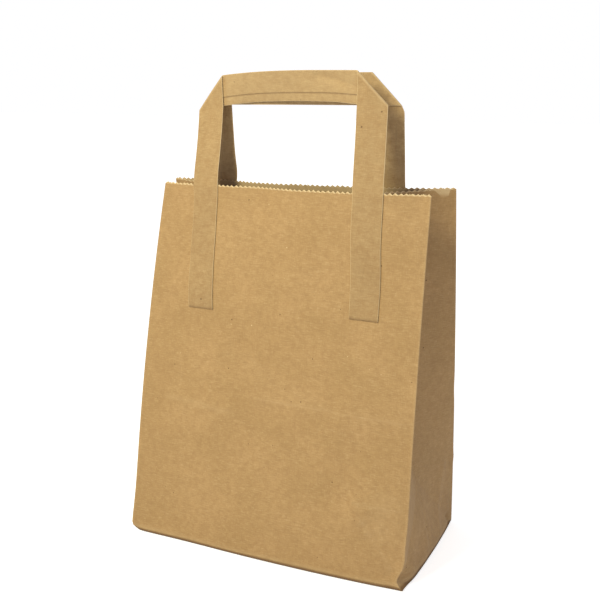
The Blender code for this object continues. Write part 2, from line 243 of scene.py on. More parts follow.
# The bag as it stands open
@dataclass(frozen=True)
class StandingBag:
    """Middle surface of the bag as it stands open. Lengths in mm on the flat sheet.

    Pairs are (left, right). The two wide panels hang between four upright folds, and
    the sides are V pleats above an apex, with a leaning triangle below it. Relief dies
    away over its margin at the folds, and starts a little below the base.
    """

    width: float = 180.0
    depth: float = 93.7
    height: float = 218.4
    ply: float = 0.15
    bottom_plies: int = 4
    mouth_gap: Pair = (12.7, 45.0)
    mouth_centre: Pair = (4.2, -2.3)
    mouth_shift: float = 1.58
    fold_bow: Pair = (4.7, 2.8)
    base_bulge: float = 3.5
    back_base_bulge: float = 3.35
    side_bulge: float = 1.23
    corner_radius: Pair = (4.6, 1.8)
    corner_reach: float = 3.6
    corner_foot: float = 1.1
    front_middle_bulge: float = -0.4
    front_mouth_bulge: float = 8.2
    back_middle_bulge: float = 1.0
    back_mouth_dip: float = 14.2
    dip_skew: float = 1.8
    dip_steepness: float = 1.5
    gusset_slack: float = 2.2
    pleat_drop: float = 3.2
    relief_margin: float = 7.0
    relief_sunk: float = 1.0
    pleat_relief: float = 3.0
    pleat_foot: float = 5.0
    front_waves: tuple[Waves, ...] = (Waves(3, 0.8, 62.0), Waves(8, 0.22, 24.0))
    back_waves: tuple[Waves, ...] = (Waves(5, 0.70, 58.0), Waves(9, 0.20, 22.0))
    side_waves: tuple[Waves, ...] = (Waves(12, 0.40, 42.0), Waves(14, 0.14, 16.0))
    front_creases: tuple[Crease | Dimple, ...] = (
        Dimple((70.0, 218.4), (21.0, 20.0), -4.8),
        Crease((88.0, 96.2), (170.0, 96.2), 1.5, (9.0, 14.0), 0.4, 16.0, wear_and_highlight=0.07),
        Crease((22.0, 88.5), (62.0, 85.5), 1.3, (8.0, 10.0), 0.5, 9.0, 0.07, 1.6),
        Crease((150.0, 47.1), (173.0, 47.1), 0.9, (9.0, 9.0), 0.4, 7.0, wear_and_highlight=0.05),
        Crease((66.0, 123.0), (126.0, 100.0), -2.7, (10.0, 9.0), 0.5, 14.0),
        Crease((180.0, 1.0), (156.0, 32.0), -2.4, (12.0, 10.0), 0.4, 9.0, 0.04, 1.6),
        Crease((156.0, 32.0), (148.0, 47.0), 1.4, (9.0, 8.0), 0.4, 6.0, 0.02, 1.6),
        # Painted highlight: this crease's wide wear is a pale patch where the fold's flank would catch
        # light.
        Crease((163.0, 30.0), (166.0, 52.0), 0.5, (9.0, 9.0), 2.0, 8.0, 0.05, 8.0),
        Crease((26.5, 108.0), (27.5, 98.0), -0.6, (4.0, 4.0), 0.5, 4.0, 0.05, 0.9),
        Crease((27.5, 98.0), (41.5, 98.5), -0.6, (4.0, 4.0), 0.5, 5.0, 0.05, 0.9),
    )
    back_creases: tuple[Crease | Dimple, ...] = (
        Dimple((90.0, 10.0), (95.0, 28.0), -1.25),
        Dimple((66.0, 218.4), (26.0, 26.0), -4.5),
        Crease((6.0, 93.7), (174.0, 93.7), 0.4, (14.0, 10.0), 0.9, 9.0),
        Crease((6.0, 46.9), (174.0, 46.9), -0.5, (12.0, 14.0), 0.8, 8.0),
        Crease((178.0, 1.0), (150.0, 30.0), -0.6, (11.0, 9.0), 0.9, 9.0),
        Crease((2.0, 1.0), (30.0, 30.0), -0.6, (9.0, 11.0), 0.9, 9.0),
    )
    side_creases: tuple[Crease, ...] = (
        Crease((1.0, 46.9), (46.8, 44.0), -0.9, (9.0, 6.0), 0.6, 4.0),
        Crease((-46.8, 46.9), (-1.0, 46.9), -0.8, (8.0, 6.0), 0.6, 4.0),
        Crease((34.4, 45.2), (19.2, 5.7), 1.0, (3.2, 4.5), 0.5, 5.0),
        Crease((0.0, 46.9), (0.0, 8.0), 0.6, (7.0, 7.0), 0.9, 8.0),
        Crease((40.0, 7.0), (43.5, 1.5), -1.5, (2.5, 2.5), 0.5, 3.0),
    )
    dents: tuple[Dent, ...] = (
        Dent(Side.FRONT, End.LEFT, 0.0, 20.0, (0.0, -2.4), 30.0),
        Dent(Side.FRONT, End.RIGHT, 4.6, 7.6, (-4.9, 0.5), 9.0),
        Dent(Side.FRONT, End.RIGHT, 24.0, 12.0, (-0.8, 0.4)),
        Dent(Side.FRONT, End.RIGHT, 0.0, 2.6, (2.55, -0.3), 7.0),
        Dent(Side.BACK, End.RIGHT, 47.5, 3.5, (0.25, 0.1), 6.0),
        Dent(Side.BACK, End.LEFT, 46.9, 2.6, (0.6, -0.5), 5.0),
        Dent(Side.BACK, End.LEFT, 8.0, 6.0, (1.6, -0.8), 7.0),
        Dent(Side.BACK, End.RIGHT, 93.7, 7.0, (-0.2, -0.2), 8.0),
    )

    @property
    def apex(self) -> float:
        """Share of the height at which the pleat's triangle ends."""
        return self.depth / 2 / self.height

    @property
    def floor(self) -> float:
        """Height of the glued bottom's upper side, mm."""
        return self.bottom_plies * self.ply

    def mouth_y(self, side: Side, end: End) -> float:
        """Y of one corner of the mouth, mm."""
        return end.of(self.mouth_centre) + side.value * end.of(self.mouth_gap) / 2

    def smooth_fold(self, side: Side, end: End, rise: np.ndarray) -> np.ndarray:
        """An upright fold without its dents.

        Formula: a straight line from the base corner to the mouth corner, bowed along
        Y by four times bow times rise times its remainder.

        Args:
            side: the wide panel that the fold borders.
            end: the pleated side that it borders.
            rise: share of the height, 0 at the base and 1 at the mouth.

        Returns:
            Points in mm, with the last axis x, y, z.
        """
        spread = self.mouth_y(side, End.RIGHT) - self.mouth_y(side, End.LEFT)
        top_x = self.mouth_shift + end.value * math.sqrt(self.width ** 2 - spread ** 2) / 2
        base_x, base_y = end.value * self.width / 2, side.value * self.depth / 2
        top_y = self.mouth_y(side, end)
        top_z = math.sqrt(self.height ** 2 - (top_x - base_x) ** 2 - (top_y - base_y) ** 2)
        bow = side.value * end.of(self.fold_bow) * 4 * rise * (1 - rise)
        x = base_x + (top_x - base_x) * rise
        y = base_y + (top_y - base_y) * rise + bow
        return np.stack([x, y, top_z * rise], axis=-1)

    def dent(self, side: Side, end: End, distance: np.ndarray, rise: np.ndarray) -> np.ndarray:
        """Push of a fold's dents and of its rounded foot, at a distance from the fold.

        Formula: each push times a bell along the fold and a bell across it. The foot
        draws in as a quarter circle does over the corner radius.

        Args:
            side: the wide panel that the fold borders.
            end: the pleated side that it borders.
            distance: distance from the fold along the sheet, mm.
            rise: share of the height.

        Returns:
            Offsets in mm, with the last axis x, y, z.
        """
        climb = rise * self.height
        offset = np.zeros((*np.broadcast(distance, rise).shape, 3))
        for mark in self.dents:
            if mark.side is side and mark.end is end:
                share = bell(climb - mark.climb, mark.spread) * bell(distance, mark.reach)
                offset[..., 0] += mark.push[0] * share
                offset[..., 1] += mark.push[1] * share
        radius = end.of(self.corner_radius)
        left = np.clip(1 - np.maximum(climb, self.corner_foot) / radius, 0, 1)
        foot = radius * (1 - np.sqrt(1 - left ** 2)) * bell(distance, self.corner_reach)
        offset[..., 0] -= end.value * foot
        offset[..., 1] -= side.value * foot
        return offset

    def fold(self, side: Side, end: End, rise: np.ndarray) -> np.ndarray:
        """An upright fold with its dents, mm."""
        return self.smooth_fold(side, end, rise) + self.dent(side, end, np.zeros(1), rise)

    def bulge(self, side: Side, across: np.ndarray, rise: np.ndarray) -> np.ndarray:
        """How far a wide panel stands out from the chord between its folds.

        Formula: across the panel four times across times its remainder; up the panel
        the parabola through the bulges at base, middle and mouth. The back also dips
        inwards by the dip times a power of rise and a skewed half sine.

        Args:
            side: which wide panel.
            across: share of the width from the left fold.
            rise: share of the height.

        Returns:
            The bulge in mm, outwards.
        """
        arch = 4 * across * (1 - across)
        base = (1 - rise) * (1 - 2 * rise)
        middle = 4 * rise * (1 - rise)
        mouth = rise * (2 * rise - 1)
        if side is Side.FRONT:
            swell = middle * self.front_middle_bulge + mouth * self.front_mouth_bulge
            return (base * self.base_bulge + swell) * arch
        wave = np.sin(math.pi * across ** self.dip_skew)
        dip = self.back_mouth_dip * rise ** self.dip_steepness * wave
        return (base * self.back_base_bulge + middle * self.back_middle_bulge) * arch - dip

    def panel(self, side: Side, across: np.ndarray, rise: np.ndarray) -> np.ndarray:
        """A wide panel with its waves, fold marks and dents.

        Formula: the chord between both folds, moved along Y by the bulge and by the
        relief, which is eased to nothing at the folds and at the base.

        Args:
            side: which wide panel.
            across: share of the width from the left fold.
            rise: share of the height.

        Returns:
            Points in mm, with the last axis x, y, z.
        """
        across, rise = np.broadcast_arrays(across, rise)
        left = self.smooth_fold(side, End.LEFT, rise)
        right = self.smooth_fold(side, End.RIGHT, rise)
        point = left + (right - left) * across[..., None]
        along, climb = across * self.width, rise * self.height
        front = side is Side.FRONT
        marks = [*(self.front_waves if front else self.back_waves)]
        marks += [*(self.front_creases if front else self.back_creases)]
        relief = sum(mark.relief(along, climb) for mark in marks)
        margin = np.minimum(along, self.width - along) / self.relief_margin
        relief = relief * ease(margin) * ease((climb + self.relief_sunk) / self.relief_margin)
        point[..., 1] += side.value * (self.bulge(side, across, rise) + relief)
        point += self.dent(side, End.LEFT, along, rise)
        point += self.dent(side, End.RIGHT, self.width - along, rise)
        return point

    def gusset(self, end: End, across: np.ndarray, rise: np.ndarray) -> np.ndarray:
        """A pleated side with its triangle, fold marks and dents.

        Formula: the chord between the front and back folds, moved inwards by the
        pleat's depth. Above the apex the depth falls off evenly from the crease to
        the folds, and below it evenly towards the base and its two corners. The
        leaning crease ends lower, by the drop times the square of the climb above it.

        Args:
            end: which side.
            across: -1 at the front fold, 0 at the middle crease, 1 at the back fold.
            rise: share of the height.

        Returns:
            Points in mm, with the last axis x, y, z.
        """
        across, rise = np.broadcast_arrays(across, rise)
        front = self.smooth_fold(Side.FRONT, end, rise)
        back = self.smooth_fold(Side.BACK, end, rise)
        point = front + (back - front) * ((across + 1) / 2)[..., None]
        above = np.maximum(rise, self.apex)
        upper_front = self.smooth_fold(Side.FRONT, end, above)
        upper_back = self.smooth_fold(Side.BACK, end, above)
        gap = upper_back[..., 1] - upper_front[..., 1]
        reach = self.depth / 2 - self.gusset_slack * (1 - above) / (1 - self.apex)
        depth = np.sqrt(np.maximum(reach ** 2 - (gap / 2) ** 2, 0))
        climb = np.clip(rise / self.apex, TINY, 1)
        depth = depth * climb * np.clip((1 - np.abs(across)) / climb, 0, 1)
        depth = depth - self.side_bulge * (1 - across ** 2) * (1 - climb)
        along, height = across * self.depth / 2, rise * self.height
        relief = sum(mark.relief(along, height) for mark in self.side_waves + self.side_creases)
        margin = np.minimum(self.depth / 2 - np.abs(along), np.abs(along) + self.pleat_relief)
        low = ease((height + self.relief_sunk) / self.pleat_foot)
        relief = relief * ease(margin / self.relief_margin) * low
        point[..., 0] -= end.value * (depth - relief)
        lean = ((above - self.apex) / (1 - self.apex)) ** 2
        point[..., 2] -= self.pleat_drop * lean * (1 - np.abs(across))
        point += self.dent(Side.FRONT, end, self.depth / 2 + along, rise)
        point += self.dent(Side.BACK, end, self.depth / 2 - along, rise)
        return point


BAG = StandingBag()


# Meshes
@dataclass
class Skin:
    """A mesh in the making: points in mm, triangles and per-point marks."""

    points: np.ndarray
    triangles: np.ndarray
    marks: dict[str, np.ndarray]

    def make(self, name: str, materials: list[bpy.types.Material], sharp: float) -> bpy.types.Object:
        """Write the mesh in metres and return its object, at the origin.

        Args:
            name: the object's name.
            materials: finishes of the piece.
            sharp: edges that turn more than this many degrees stay sharp.

        Returns:
            The new object.
        """
        mesh = bpy.data.meshes.new(name)
        count = len(self.triangles)
        mesh.vertices.add(len(self.points))
        mesh.vertices.foreach_set("co", (self.points * MM).astype(np.float32).ravel())
        mesh.loops.add(3 * count)
        mesh.loops.foreach_set("vertex_index", self.triangles.astype(np.int32).ravel())
        mesh.polygons.add(count)
        mesh.polygons.foreach_set("loop_start", np.arange(0, 3 * count, 3, dtype=np.int32))
        mesh.update(calc_edges=True)
        for mark, values in self.marks.items():
            layer = mesh.attributes.new(mark, "FLOAT", "POINT")
            layer.data.foreach_set("value", values.astype(np.float32))
        mesh.shade_smooth()
        mesh.set_sharp_from_angle(angle=math.radians(sharp))
        for material in materials:
            mesh.materials.append(material)
        piece = bpy.data.objects.new(name, mesh)
        bpy.context.scene.collection.objects.link(piece)
        return piece


def join(*skins: Skin) -> Skin:
    """Put several skins into one, with the later ones' triangles renumbered.

    Args:
        skins: the skins, which all carry the same marks.

    Returns:
        One skin.
    """
    firsts = np.cumsum([0] + [len(skin.points) for skin in skins[:-1]])
    triangles = [skin.triangles + first for skin, first in zip(skins, firsts)]
    marks = {key: np.concatenate([skin.marks[key] for skin in skins]) for key in skins[0].marks}
    return Skin(np.concatenate([skin.points for skin in skins]), np.concatenate(triangles), marks)


def grid_triangles(rows: int, columns: int, closed: bool, rising: np.ndarray) -> np.ndarray:
    """Triangles of a grid whose points are numbered row by row.

    Args:
        rows: number of rows of points.
        columns: number of points in a row.
        closed: whether the last column joins the first.
        rising: for each cell of a row, whether its diagonal rises to the right.

    Returns:
        Triangles that face along cross product of row direction and column direction.
    """
    cells = columns if closed else columns - 1
    row, cell = np.meshgrid(np.arange(rows - 1), np.arange(cells), indexing="ij")
    a = row * columns + cell
    b = row * columns + (cell + 1) % columns
    c, d = b + columns, a + columns
    rise = np.broadcast_to(rising, a.shape)[..., None]
    first = np.where(rise, np.stack([a, b, c], -1), np.stack([a, b, d], -1))
    second = np.where(rise, np.stack([a, c, d], -1), np.stack([b, c, d], -1))
    return np.concatenate([first.reshape(-1, 3), second.reshape(-1, 3)])


# The folded sheet
@dataclass(frozen=True)
class FoldCap:
    """How an upright fold is rounded: radius (negative inwards), steps, flat width, mm."""

    radius: float
    steps: int
    flat: float = 0.0

    def arc(self, before: np.ndarray, tip: np.ndarray, after: np.ndarray) -> np.ndarray:
        """Round a fold: a small arc in each row whose middle is the tip.

        Formula: the arc's angle runs from the arriving to the leaving surface's normal,
        and its points lie a radius away from a centre behind the tip.

        Args:
            before: the row's last point before the fold, one for each row.
            tip: the fold.
            after: the first point after it.

        Returns:
            Points of shape rows, steps + 1, 3.
        """
        arriving, leaving = tip - before, after - tip
        start = np.arctan2(-arriving[:, 0], arriving[:, 1])
        finish = np.arctan2(-leaving[:, 0], leaving[:, 1])
        turn = (finish - start + math.pi) % (2 * math.pi) - math.pi
        middle = (start + turn / 2)[:, None]
        share = np.linspace(0, 1, self.steps + 1)
        angle = start[:, None] + turn[:, None] * share
        flat = self.flat * (share - 0.5)
        points = np.repeat(tip[:, None, :], self.steps + 1, axis=1)
        points[..., 0] += self.radius * (np.cos(angle) - np.cos(middle)) - flat * np.sin(middle)
        points[..., 1] += self.radius * (np.sin(angle) - np.sin(middle)) + flat * np.cos(middle)
        return points


@dataclass
class FoldedSheet:
    """The bag's wall, one folded sheet with a pinked mouth. Lengths in mm.

    The foot rows and crease rows are heights where the mesh has a row of its own.
    """

    bag: StandingBag
    tooth_pitch: float = 3.05
    tooth_height: float = 1.05
    tooth_shoulder: float = 0.35
    tooth_uneven: float = 0.10
    tooth_curl: float = 0.16
    root_uneven: float = 0.5
    fewest_teeth: int = 3
    row_pitch: float = 2.3
    row_clearance: float = 0.7
    foot_rows: tuple[float, ...] = (1.4, 2.4)
    foot_squares: int = 3
    crease_rows: tuple[float, ...] = (46.4, 47.1, 47.8, 95.5, 96.2, 96.9)
    fold: FoldCap = FoldCap(0.39, 4)
    crease: FoldCap = FoldCap(-0.4, 2, 0.4)
    seam_width: float = 13.0
    seam_step: float = 0.25
    seam_lift: float = 0.12
    seam_shade: float = 0.5
    base_radius: float = 1.1
    base_steps: int = 4
    base_shade: float = 0.92
    base_fade: float = 0.8
    base_pale_row: float = 0.1
    sole_width: float = 4.0
    worn_fold: float = 0.08
    cut_rim: float = 0.9
    worn_rim: float = 0.5
    sharp_angle: float = 55.0
    seed: int = 21

    def halves(self, length: float) -> np.ndarray:
        """Column places from 0 to 1, two to a tooth, over a stretch of the rim."""
        teeth = max(self.fewest_teeth, round(length / self.tooth_pitch))
        return np.linspace(0, 1, 2 * teeth + 1)

    def rises(self) -> np.ndarray:
        """Row places: square cells up to the apex, then even rows, a shoulder and the rim.

        The lowest squares give way to the foot rows, and rows that come close to a
        fold mark give way to the crease rows.

        Returns:
            Shares of the height, from 0 to 1.
        """
        bag = self.bag
        foot = np.array(self.foot_rows) / bag.height
        lower = np.linspace(0, bag.apex, len(self.halves(bag.depth / 2)))[self.foot_squares:]
        count = round((1 - bag.apex) * bag.height / self.row_pitch)
        upper = np.linspace(bag.apex, 1, count + 1)[1:-1]
        even = np.concatenate([lower, upper])
        marked = np.array(self.crease_rows) / bag.height
        near = np.min(np.abs(even[:, None] - marked[None, :]), axis=1) * bag.height
        keep = (near > self.row_clearance) | np.isclose(even, bag.apex)
        middle = np.sort(np.concatenate([even[keep], marked]))
        shoulder = 1 - self.tooth_shoulder / bag.height
        return np.concatenate([[0.0], foot, middle, [shoulder, 1.0]])

    def stretches(self) -> list[tuple[str, np.ndarray]]:
        """Middle surface as named stretches of columns, once round the bag.

        Returns:
            Names and points of shape rows, columns, 3, counter-clockwise from above.
        """
        bag, rise = self.bag, self.rises()
        grid = rise[:, None]
        panel = self.halves(bag.width)
        pleat = self.halves(bag.depth / 2)[1:-1]
        back = panel[::-1]
        nearest = self.seam_place()
        back = np.insert(back, nearest + 1, back[nearest] - self.seam_step / bag.width)
        front = bag.panel(Side.FRONT, panel[None, 1:-1], grid)
        rear = bag.panel(Side.BACK, back[None, 1:-1], grid)
        halves, creases = {}, {}
        for end in End:
            halves[end, Side.FRONT] = bag.gusset(end, (pleat - 1)[None, :], grid)
            halves[end, Side.BACK] = bag.gusset(end, (1 - pleat[::-1])[None, :], grid)
            creases[end] = bag.gusset(end, np.zeros((1, 1)), grid)[:, 0]
        right_front, right_back = halves[End.RIGHT, Side.FRONT], halves[End.RIGHT, Side.BACK]
        left_front = halves[End.LEFT, Side.FRONT][:, ::-1]
        left_back = halves[End.LEFT, Side.BACK][:, ::-1]

        def corner(before: np.ndarray, side: Side, end: End, after: np.ndarray) -> np.ndarray:
            """Cap of the upright fold at one corner."""
            return self.fold.arc(before[:, -1], bag.fold(side, end, rise), after[:, 0])

        def pleat_cap(before: np.ndarray, end: End, after: np.ndarray) -> np.ndarray:
            """Cap of a pleat's middle crease."""
            return self.crease.arc(before[:, -1], creases[end], after[:, 0])

        return [
            ("fold", corner(left_front, Side.FRONT, End.LEFT, front)),
            ("front", front),
            ("fold", corner(front, Side.FRONT, End.RIGHT, right_front)),
            ("rising", right_front),
            ("crease", pleat_cap(right_front, End.RIGHT, right_back)),
            ("falling", right_back),
            ("fold", corner(right_back, Side.BACK, End.RIGHT, rear)),
            ("back", rear),
            ("fold", corner(rear, Side.BACK, End.LEFT, left_back)),
            ("rising", left_back),
            ("crease", pleat_cap(left_back, End.LEFT, left_front)),
            ("falling", left_front),
        ]

    def seam_place(self) -> int:
        """Number of the back panel's column, seen from behind, at the lap seam's edge."""
        seam = 0.5 + self.seam_width / 2 / self.bag.width
        return int(np.argmin(np.abs(self.halves(self.bag.width)[::-1] - seam)))

    def seam_columns(self, names: np.ndarray) -> np.ndarray:
        """Extra thickness of each column where the lap seam doubles the back panel.

        Args:
            names: stretch name of each column.

        Returns:
            The extra thickness in mm, with a small lift at the seam's free edge.
        """
        first = np.flatnonzero(names == "back")[self.seam_place()]
        cells = round(self.seam_width / self.bag.width * (len(self.halves(self.bag.width)) - 1))
        extra = np.zeros(len(names))
        extra[first:first + cells] = self.bag.ply
        extra[first] += self.seam_lift
        return extra

    def wear_and_highlight(self, names: np.ndarray) -> np.ndarray:
        """Pale wear and painted highlight along the front panel's fold marks.

        Args:
            names: stretch name of each column.

        Returns:
            The pale mark for each row and column, 0 to 1.
        """
        front = np.flatnonzero(names == "front")
        across = self.halves(self.bag.width)[None, 1:-1] * self.bag.width
        climb = self.rises()[:, None] * self.bag.height
        marks = [mark for mark in self.bag.front_creases if isinstance(mark, Crease)]
        rubbed_and_lit = np.zeros((len(climb), len(names)))
        rubbed_and_lit[:, front] = sum(mark.worn_and_lit(across, climb) for mark in marks)
        return rubbed_and_lit

    def rim(self, loops: np.ndarray, normals: np.ndarray, names: np.ndarray) -> np.ndarray:
        """Move the top row up into pinked teeth.

        Formula: every second column of a stretch is a tip. It goes on in the way that
        the paper reaches the mouth, by the tooth's height, and curls a little.

        Args:
            loops: middle surface, rows by columns.
            normals: outward normals of the same shape.
            names: stretch name of each column.

        Returns:
            The top row.
        """
        random = np.random.default_rng(self.seed)
        count = len(names)
        new = np.concatenate([[True], names[1:] != names[:-1]])
        place = np.arange(count) - np.maximum.accumulate(np.where(new, np.arange(count), 0))
        tip = (place % 2 == 0) & (names != "fold") & (names != "crease")
        uneven = random.normal(0, self.tooth_uneven, (3, count))
        climb = unit(loops[-1] - loops[-3])
        along = unit(np.roll(loops[-1], -1, axis=0) - np.roll(loops[-1], 1, axis=0))
        height = np.where(tip, self.tooth_height * (1 + uneven[0]), uneven[1] * self.root_uneven)
        curl = np.where(tip, self.tooth_curl * random.normal(0, 1, count), 0.0)
        top = loops[-1] + climb * height[:, None] + normals[-1] * curl[:, None]
        return top + along * np.where(tip, uneven[2], 0.0)[:, None]

    def skin(self) -> Skin:
        """The closed wall: outside, base fold, sole, inside and rim, as one skin.

        Formula of the base: a quarter circle of the base radius, then the sole. Both
        draw in towards the middle by shares of the half width and half depth, so that
        their corners stay clear of each other.

        Returns:
            The wall's skin.
        """
        named = self.stretches()
        names = np.concatenate([[name] * points.shape[1] for name, points in named])
        loops = np.concatenate([points for _, points in named], axis=1)
        along = np.roll(loops, -1, axis=1) - np.roll(loops, 1, axis=1)
        normals = unit(np.cross(along, np.gradient(loops, axis=0)))
        loops[-1] = self.rim(loops, normals, names)
        half = self.bag.ply / 2
        outside = loops + normals * (half + self.seam_columns(names))[None, :, None]
        inside = loops - normals * half

        angle = np.linspace(0, math.pi / 2, self.base_steps + 1)[:, None, None]
        radius = self.base_radius
        reach = np.array([self.bag.width / 2, self.bag.depth / 2, np.inf])
        base = outside[:1] * (1 - radius * (1 - np.cos(angle)) / reach)
        base[..., 2] = radius * (1 - np.sin(angle[..., 0]))
        outside[..., 2] = np.maximum(outside[..., 2], radius)
        inside[..., 2] = np.maximum(inside[..., 2], self.bag.floor)
        sole = base[-1:] * (1 - self.sole_width / reach)
        inner_sole = sole.copy()
        inner_sole[..., 2] = self.bag.floor

        ring = np.concatenate([inner_sole, sole, base[::-1], outside[1:], inside[::-1]])
        rows, columns = ring.shape[:2]
        rising = np.isin(names, ("rising", "front", "fold", "crease"))
        triangles = grid_triangles(rows, columns, True, rising)
        last = grid_triangles(2, columns, True, rising)
        last = np.where(last < columns, last + (rows - 1) * columns, last - columns)
        marks = self.marks(names, rows, len(outside))
        return Skin(ring.reshape(-1, 3), np.concatenate([triangles, last]), marks)

    def marks(self, names: np.ndarray, rows: int, wall: int) -> dict[str, np.ndarray]:
        """Pale cut and rubbed paper, painted highlights and painted dark shade for each point of the
        wall.

        The rows are the inner sole and the sole, the base fold, the outside from its
        foot to its top, and the inside from its top down.

        Args:
            names: stretch name of each column.
            rows: number of rows in all.
            wall: number of rows of the outside, with the base fold's first one.

        Returns:
            The two marks, row by row.
        """
        foot = self.base_steps + 3
        top = foot + wall - 2
        outer = slice(foot, top + 1)
        pale = np.tile(np.where(names == "fold", self.worn_fold, 0.0), (rows, 1))
        # Pale lines along the front's fold marks: rubbed wear and painted highlight.
        pale[outer] += self.wear_and_highlight(names)[1:]
        # A paler row just above the base's painted shade.
        pale[foot + 1] += self.base_pale_row
        pale[top:top + 2] = self.cut_rim
        pale[top + 2:top + 4] = self.worn_rim
        dark = np.zeros((rows, len(names)))
        # Painted shade: the base fold and the row above it are darkened as the shadow where the bag meets
        # the floor.
        dark[2:foot] = self.base_shade
        dark[foot] = self.base_shade * self.base_fade
        # Painted shade on the low side of the lap seam's step.
        dark[outer, np.flatnonzero(self.seam_columns(names) > self.bag.ply) - 1] = self.seam_shade
        return {"pale": pale.ravel(), "dark": dark.ravel()}

    def build(self, paper: bpy.types.Material) -> bpy.types.Object:
        """Make the wall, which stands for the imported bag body.

        Args:
            paper: the sheet's finish.

        Returns:
            The wall's object.
        """
        wall = self.skin().make("kraft_sheet_wall", [paper], self.sharp_angle)
        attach(wall, BODY)
        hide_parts("bag_body")
        return wall


# The block bottom
def slab(top: np.ndarray, thickness: float, rim: np.ndarray) -> Skin:
    """A closed slab under a grid of points that face up.

    Args:
        top: the upper side, rows by columns by 3, counter-clockwise from above.
        thickness: distance down to the lower side, mm.
        rim: the pale cut edge's mark for each point.

    Returns:
        The slab's skin.
    """
    rows, columns = top.shape[:2]
    low = top - np.array([0.0, 0.0, thickness])
    points = np.concatenate([top.reshape(-1, 3), low.reshape(-1, 3)])
    upper = grid_triangles(rows, columns, False, np.ones(columns - 1, bool))
    lower = upper[:, ::-1] + rows * columns
    number = np.arange(rows * columns).reshape(rows, columns)
    edge = np.concatenate([number[0], number[1:, -1], number[-1, -2::-1], number[-2:0:-1, 0]])
    after = np.roll(edge, -1)
    under = rows * columns
    first = np.stack([edge, edge + under, after + under], -1)
    second = np.stack([edge, after + under, after], -1)
    triangles = np.concatenate([upper, lower, first, second])
    both = np.concatenate([rim.ravel(), rim.ravel()])
    return Skin(points, triangles, {"pale": both, "dark": np.zeros(len(both))})


@dataclass
class BlockBottom:
    """The folded bottom: outer and inner flap, two end triangles and the inner floor.

    Lengths in mm. Each piece starts an edge margin inside the wall.
    """

    bag: StandingBag
    lap: float = 10.0
    tooth_pitch: float = 3.2
    tooth_height: float = 1.1
    tooth_shoulder: float = 0.35
    edge_margin: float = 2.0
    follow: float = 15.0
    flap_rows: int = 24
    triangle_rows: int = 16
    triangle_columns: int = 17
    triangle_taper: float = 0.98
    floor_rows: int = 41
    floor_columns: int = 61
    floor_thickness: float = 0.3
    hump: float = 0.5
    valley: float = 0.12
    valley_spread: float = 1.5
    clear: float = 0.01
    sharp_angle: float = 40.0

    def flap(self, side: Side, level: float) -> Skin:
        """One long flap, folded in from a wide panel's foot.

        Formula: at a distance from its fold the flap is the panel's width less twice
        that distance wide, and it rises evenly to its level. The free edge is pinked.
        Near its fold the flap follows the panel's dents.

        Args:
            side: the panel that it belongs to.
            level: height of its free edge over its fold, mm.

        Returns:
            The flap's skin.
        """
        bag = self.bag
        reach = bag.depth / 2 + self.lap
        teeth = round(2 * (bag.width / 2 - reach) / self.tooth_pitch)
        across = np.linspace(-1, 1, 2 * teeth + 1)
        rows = np.linspace(self.edge_margin, reach - self.tooth_shoulder, self.flap_rows)
        rows = np.append(rows, reach)[:, None]
        x = (bag.width / 2 - rows - self.edge_margin) * across[None, :]
        out = np.tile(rows, len(across))
        out[-1, 1::2] += self.tooth_height
        y = side.value * (bag.depth / 2 - out)
        z = level * out / reach + self.clear + bag.ply
        along = x + bag.width / 2
        shift = bag.dent(side, End.LEFT, along, np.zeros(1))
        shift = shift + bag.dent(side, End.RIGHT, bag.width - along, np.zeros(1))
        top = np.stack([x, y, z], axis=-1) + shift * bell(out, self.follow)[..., None]
        rim = np.zeros(out.shape)
        rim[-1] = 1.0
        if side is Side.BACK:
            top, rim = top[:, ::-1], rim[:, ::-1]
        return slab(top, bag.ply, rim)

    def triangle(self, end: End) -> Skin:
        """One end triangle, folded in from a pleated side's foot.

        Formula: a fan from the side's foot to the point where both diagonals meet,
        rising evenly to two plies.

        Args:
            end: the side that it belongs to.

        Returns:
            The triangle's skin.
        """
        bag, margin = self.bag, self.edge_margin
        out = np.linspace(0, 1, self.triangle_rows)[:, None]
        across = np.linspace(-1, 1, self.triangle_columns)[None, :]
        x = end.value * (bag.width / 2 - margin - out * (bag.depth / 2 - margin))
        y = across * (bag.depth / 2 - margin) * (1 - out * self.triangle_taper)
        z = 2 * bag.ply * out + self.clear + bag.ply
        top = np.stack(np.broadcast_arrays(x, y, z), axis=-1)
        if end is End.LEFT:
            top = top[:, ::-1]
        return slab(top, bag.ply, np.zeros(top.shape[:2]))

    def inner_floor(self) -> Skin:
        """The floor that is seen through the mouth.

        Formula: a flat rectangle with a low hump, four times each share times its
        remainder, and valleys along both diagonals of its ends.

        Returns:
            The floor's skin.
        """
        bag = self.bag
        u = np.linspace(0, 1, self.floor_columns)[None, :]
        v = np.linspace(0, 1, self.floor_rows)[:, None]
        x = (u - 0.5) * (bag.width - 2 * self.edge_margin)
        y = (v - 0.5) * (bag.depth - 2 * self.edge_margin)
        hump = self.hump * 4 * u * (1 - u) * 4 * v * (1 - v)
        ends = np.abs(bag.width / 2 - np.abs(x) - (bag.depth / 2 - np.abs(y)))
        z = bag.floor + bag.ply + hump - self.valley * np.exp(-ends / self.valley_spread)
        top = np.stack(np.broadcast_arrays(x, y, z), axis=-1)
        return slab(top, self.floor_thickness, np.zeros(top.shape[:2]))

    def build(self, paper: bpy.types.Material) -> list[bpy.types.Object]:
        """Make the flaps and the floor.

        Args:
            paper: the sheet's finish.

        Returns:
            The new objects.
        """
        skins = {
            "bottom_outer_flap": self.flap(Side.FRONT, 0.0),
            "bottom_inner_flap": self.flap(Side.BACK, self.bag.ply + self.clear),
            "bottom_end_triangles": join(self.triangle(End.LEFT), self.triangle(End.RIGHT)),
            "bottom_inside": self.inner_floor(),
        }
        pieces = []
        for name, skin in skins.items():
            piece = skin.make(name, [paper], self.sharp_angle)
            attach(piece, BODY)
            pieces.append(piece)
        return pieces


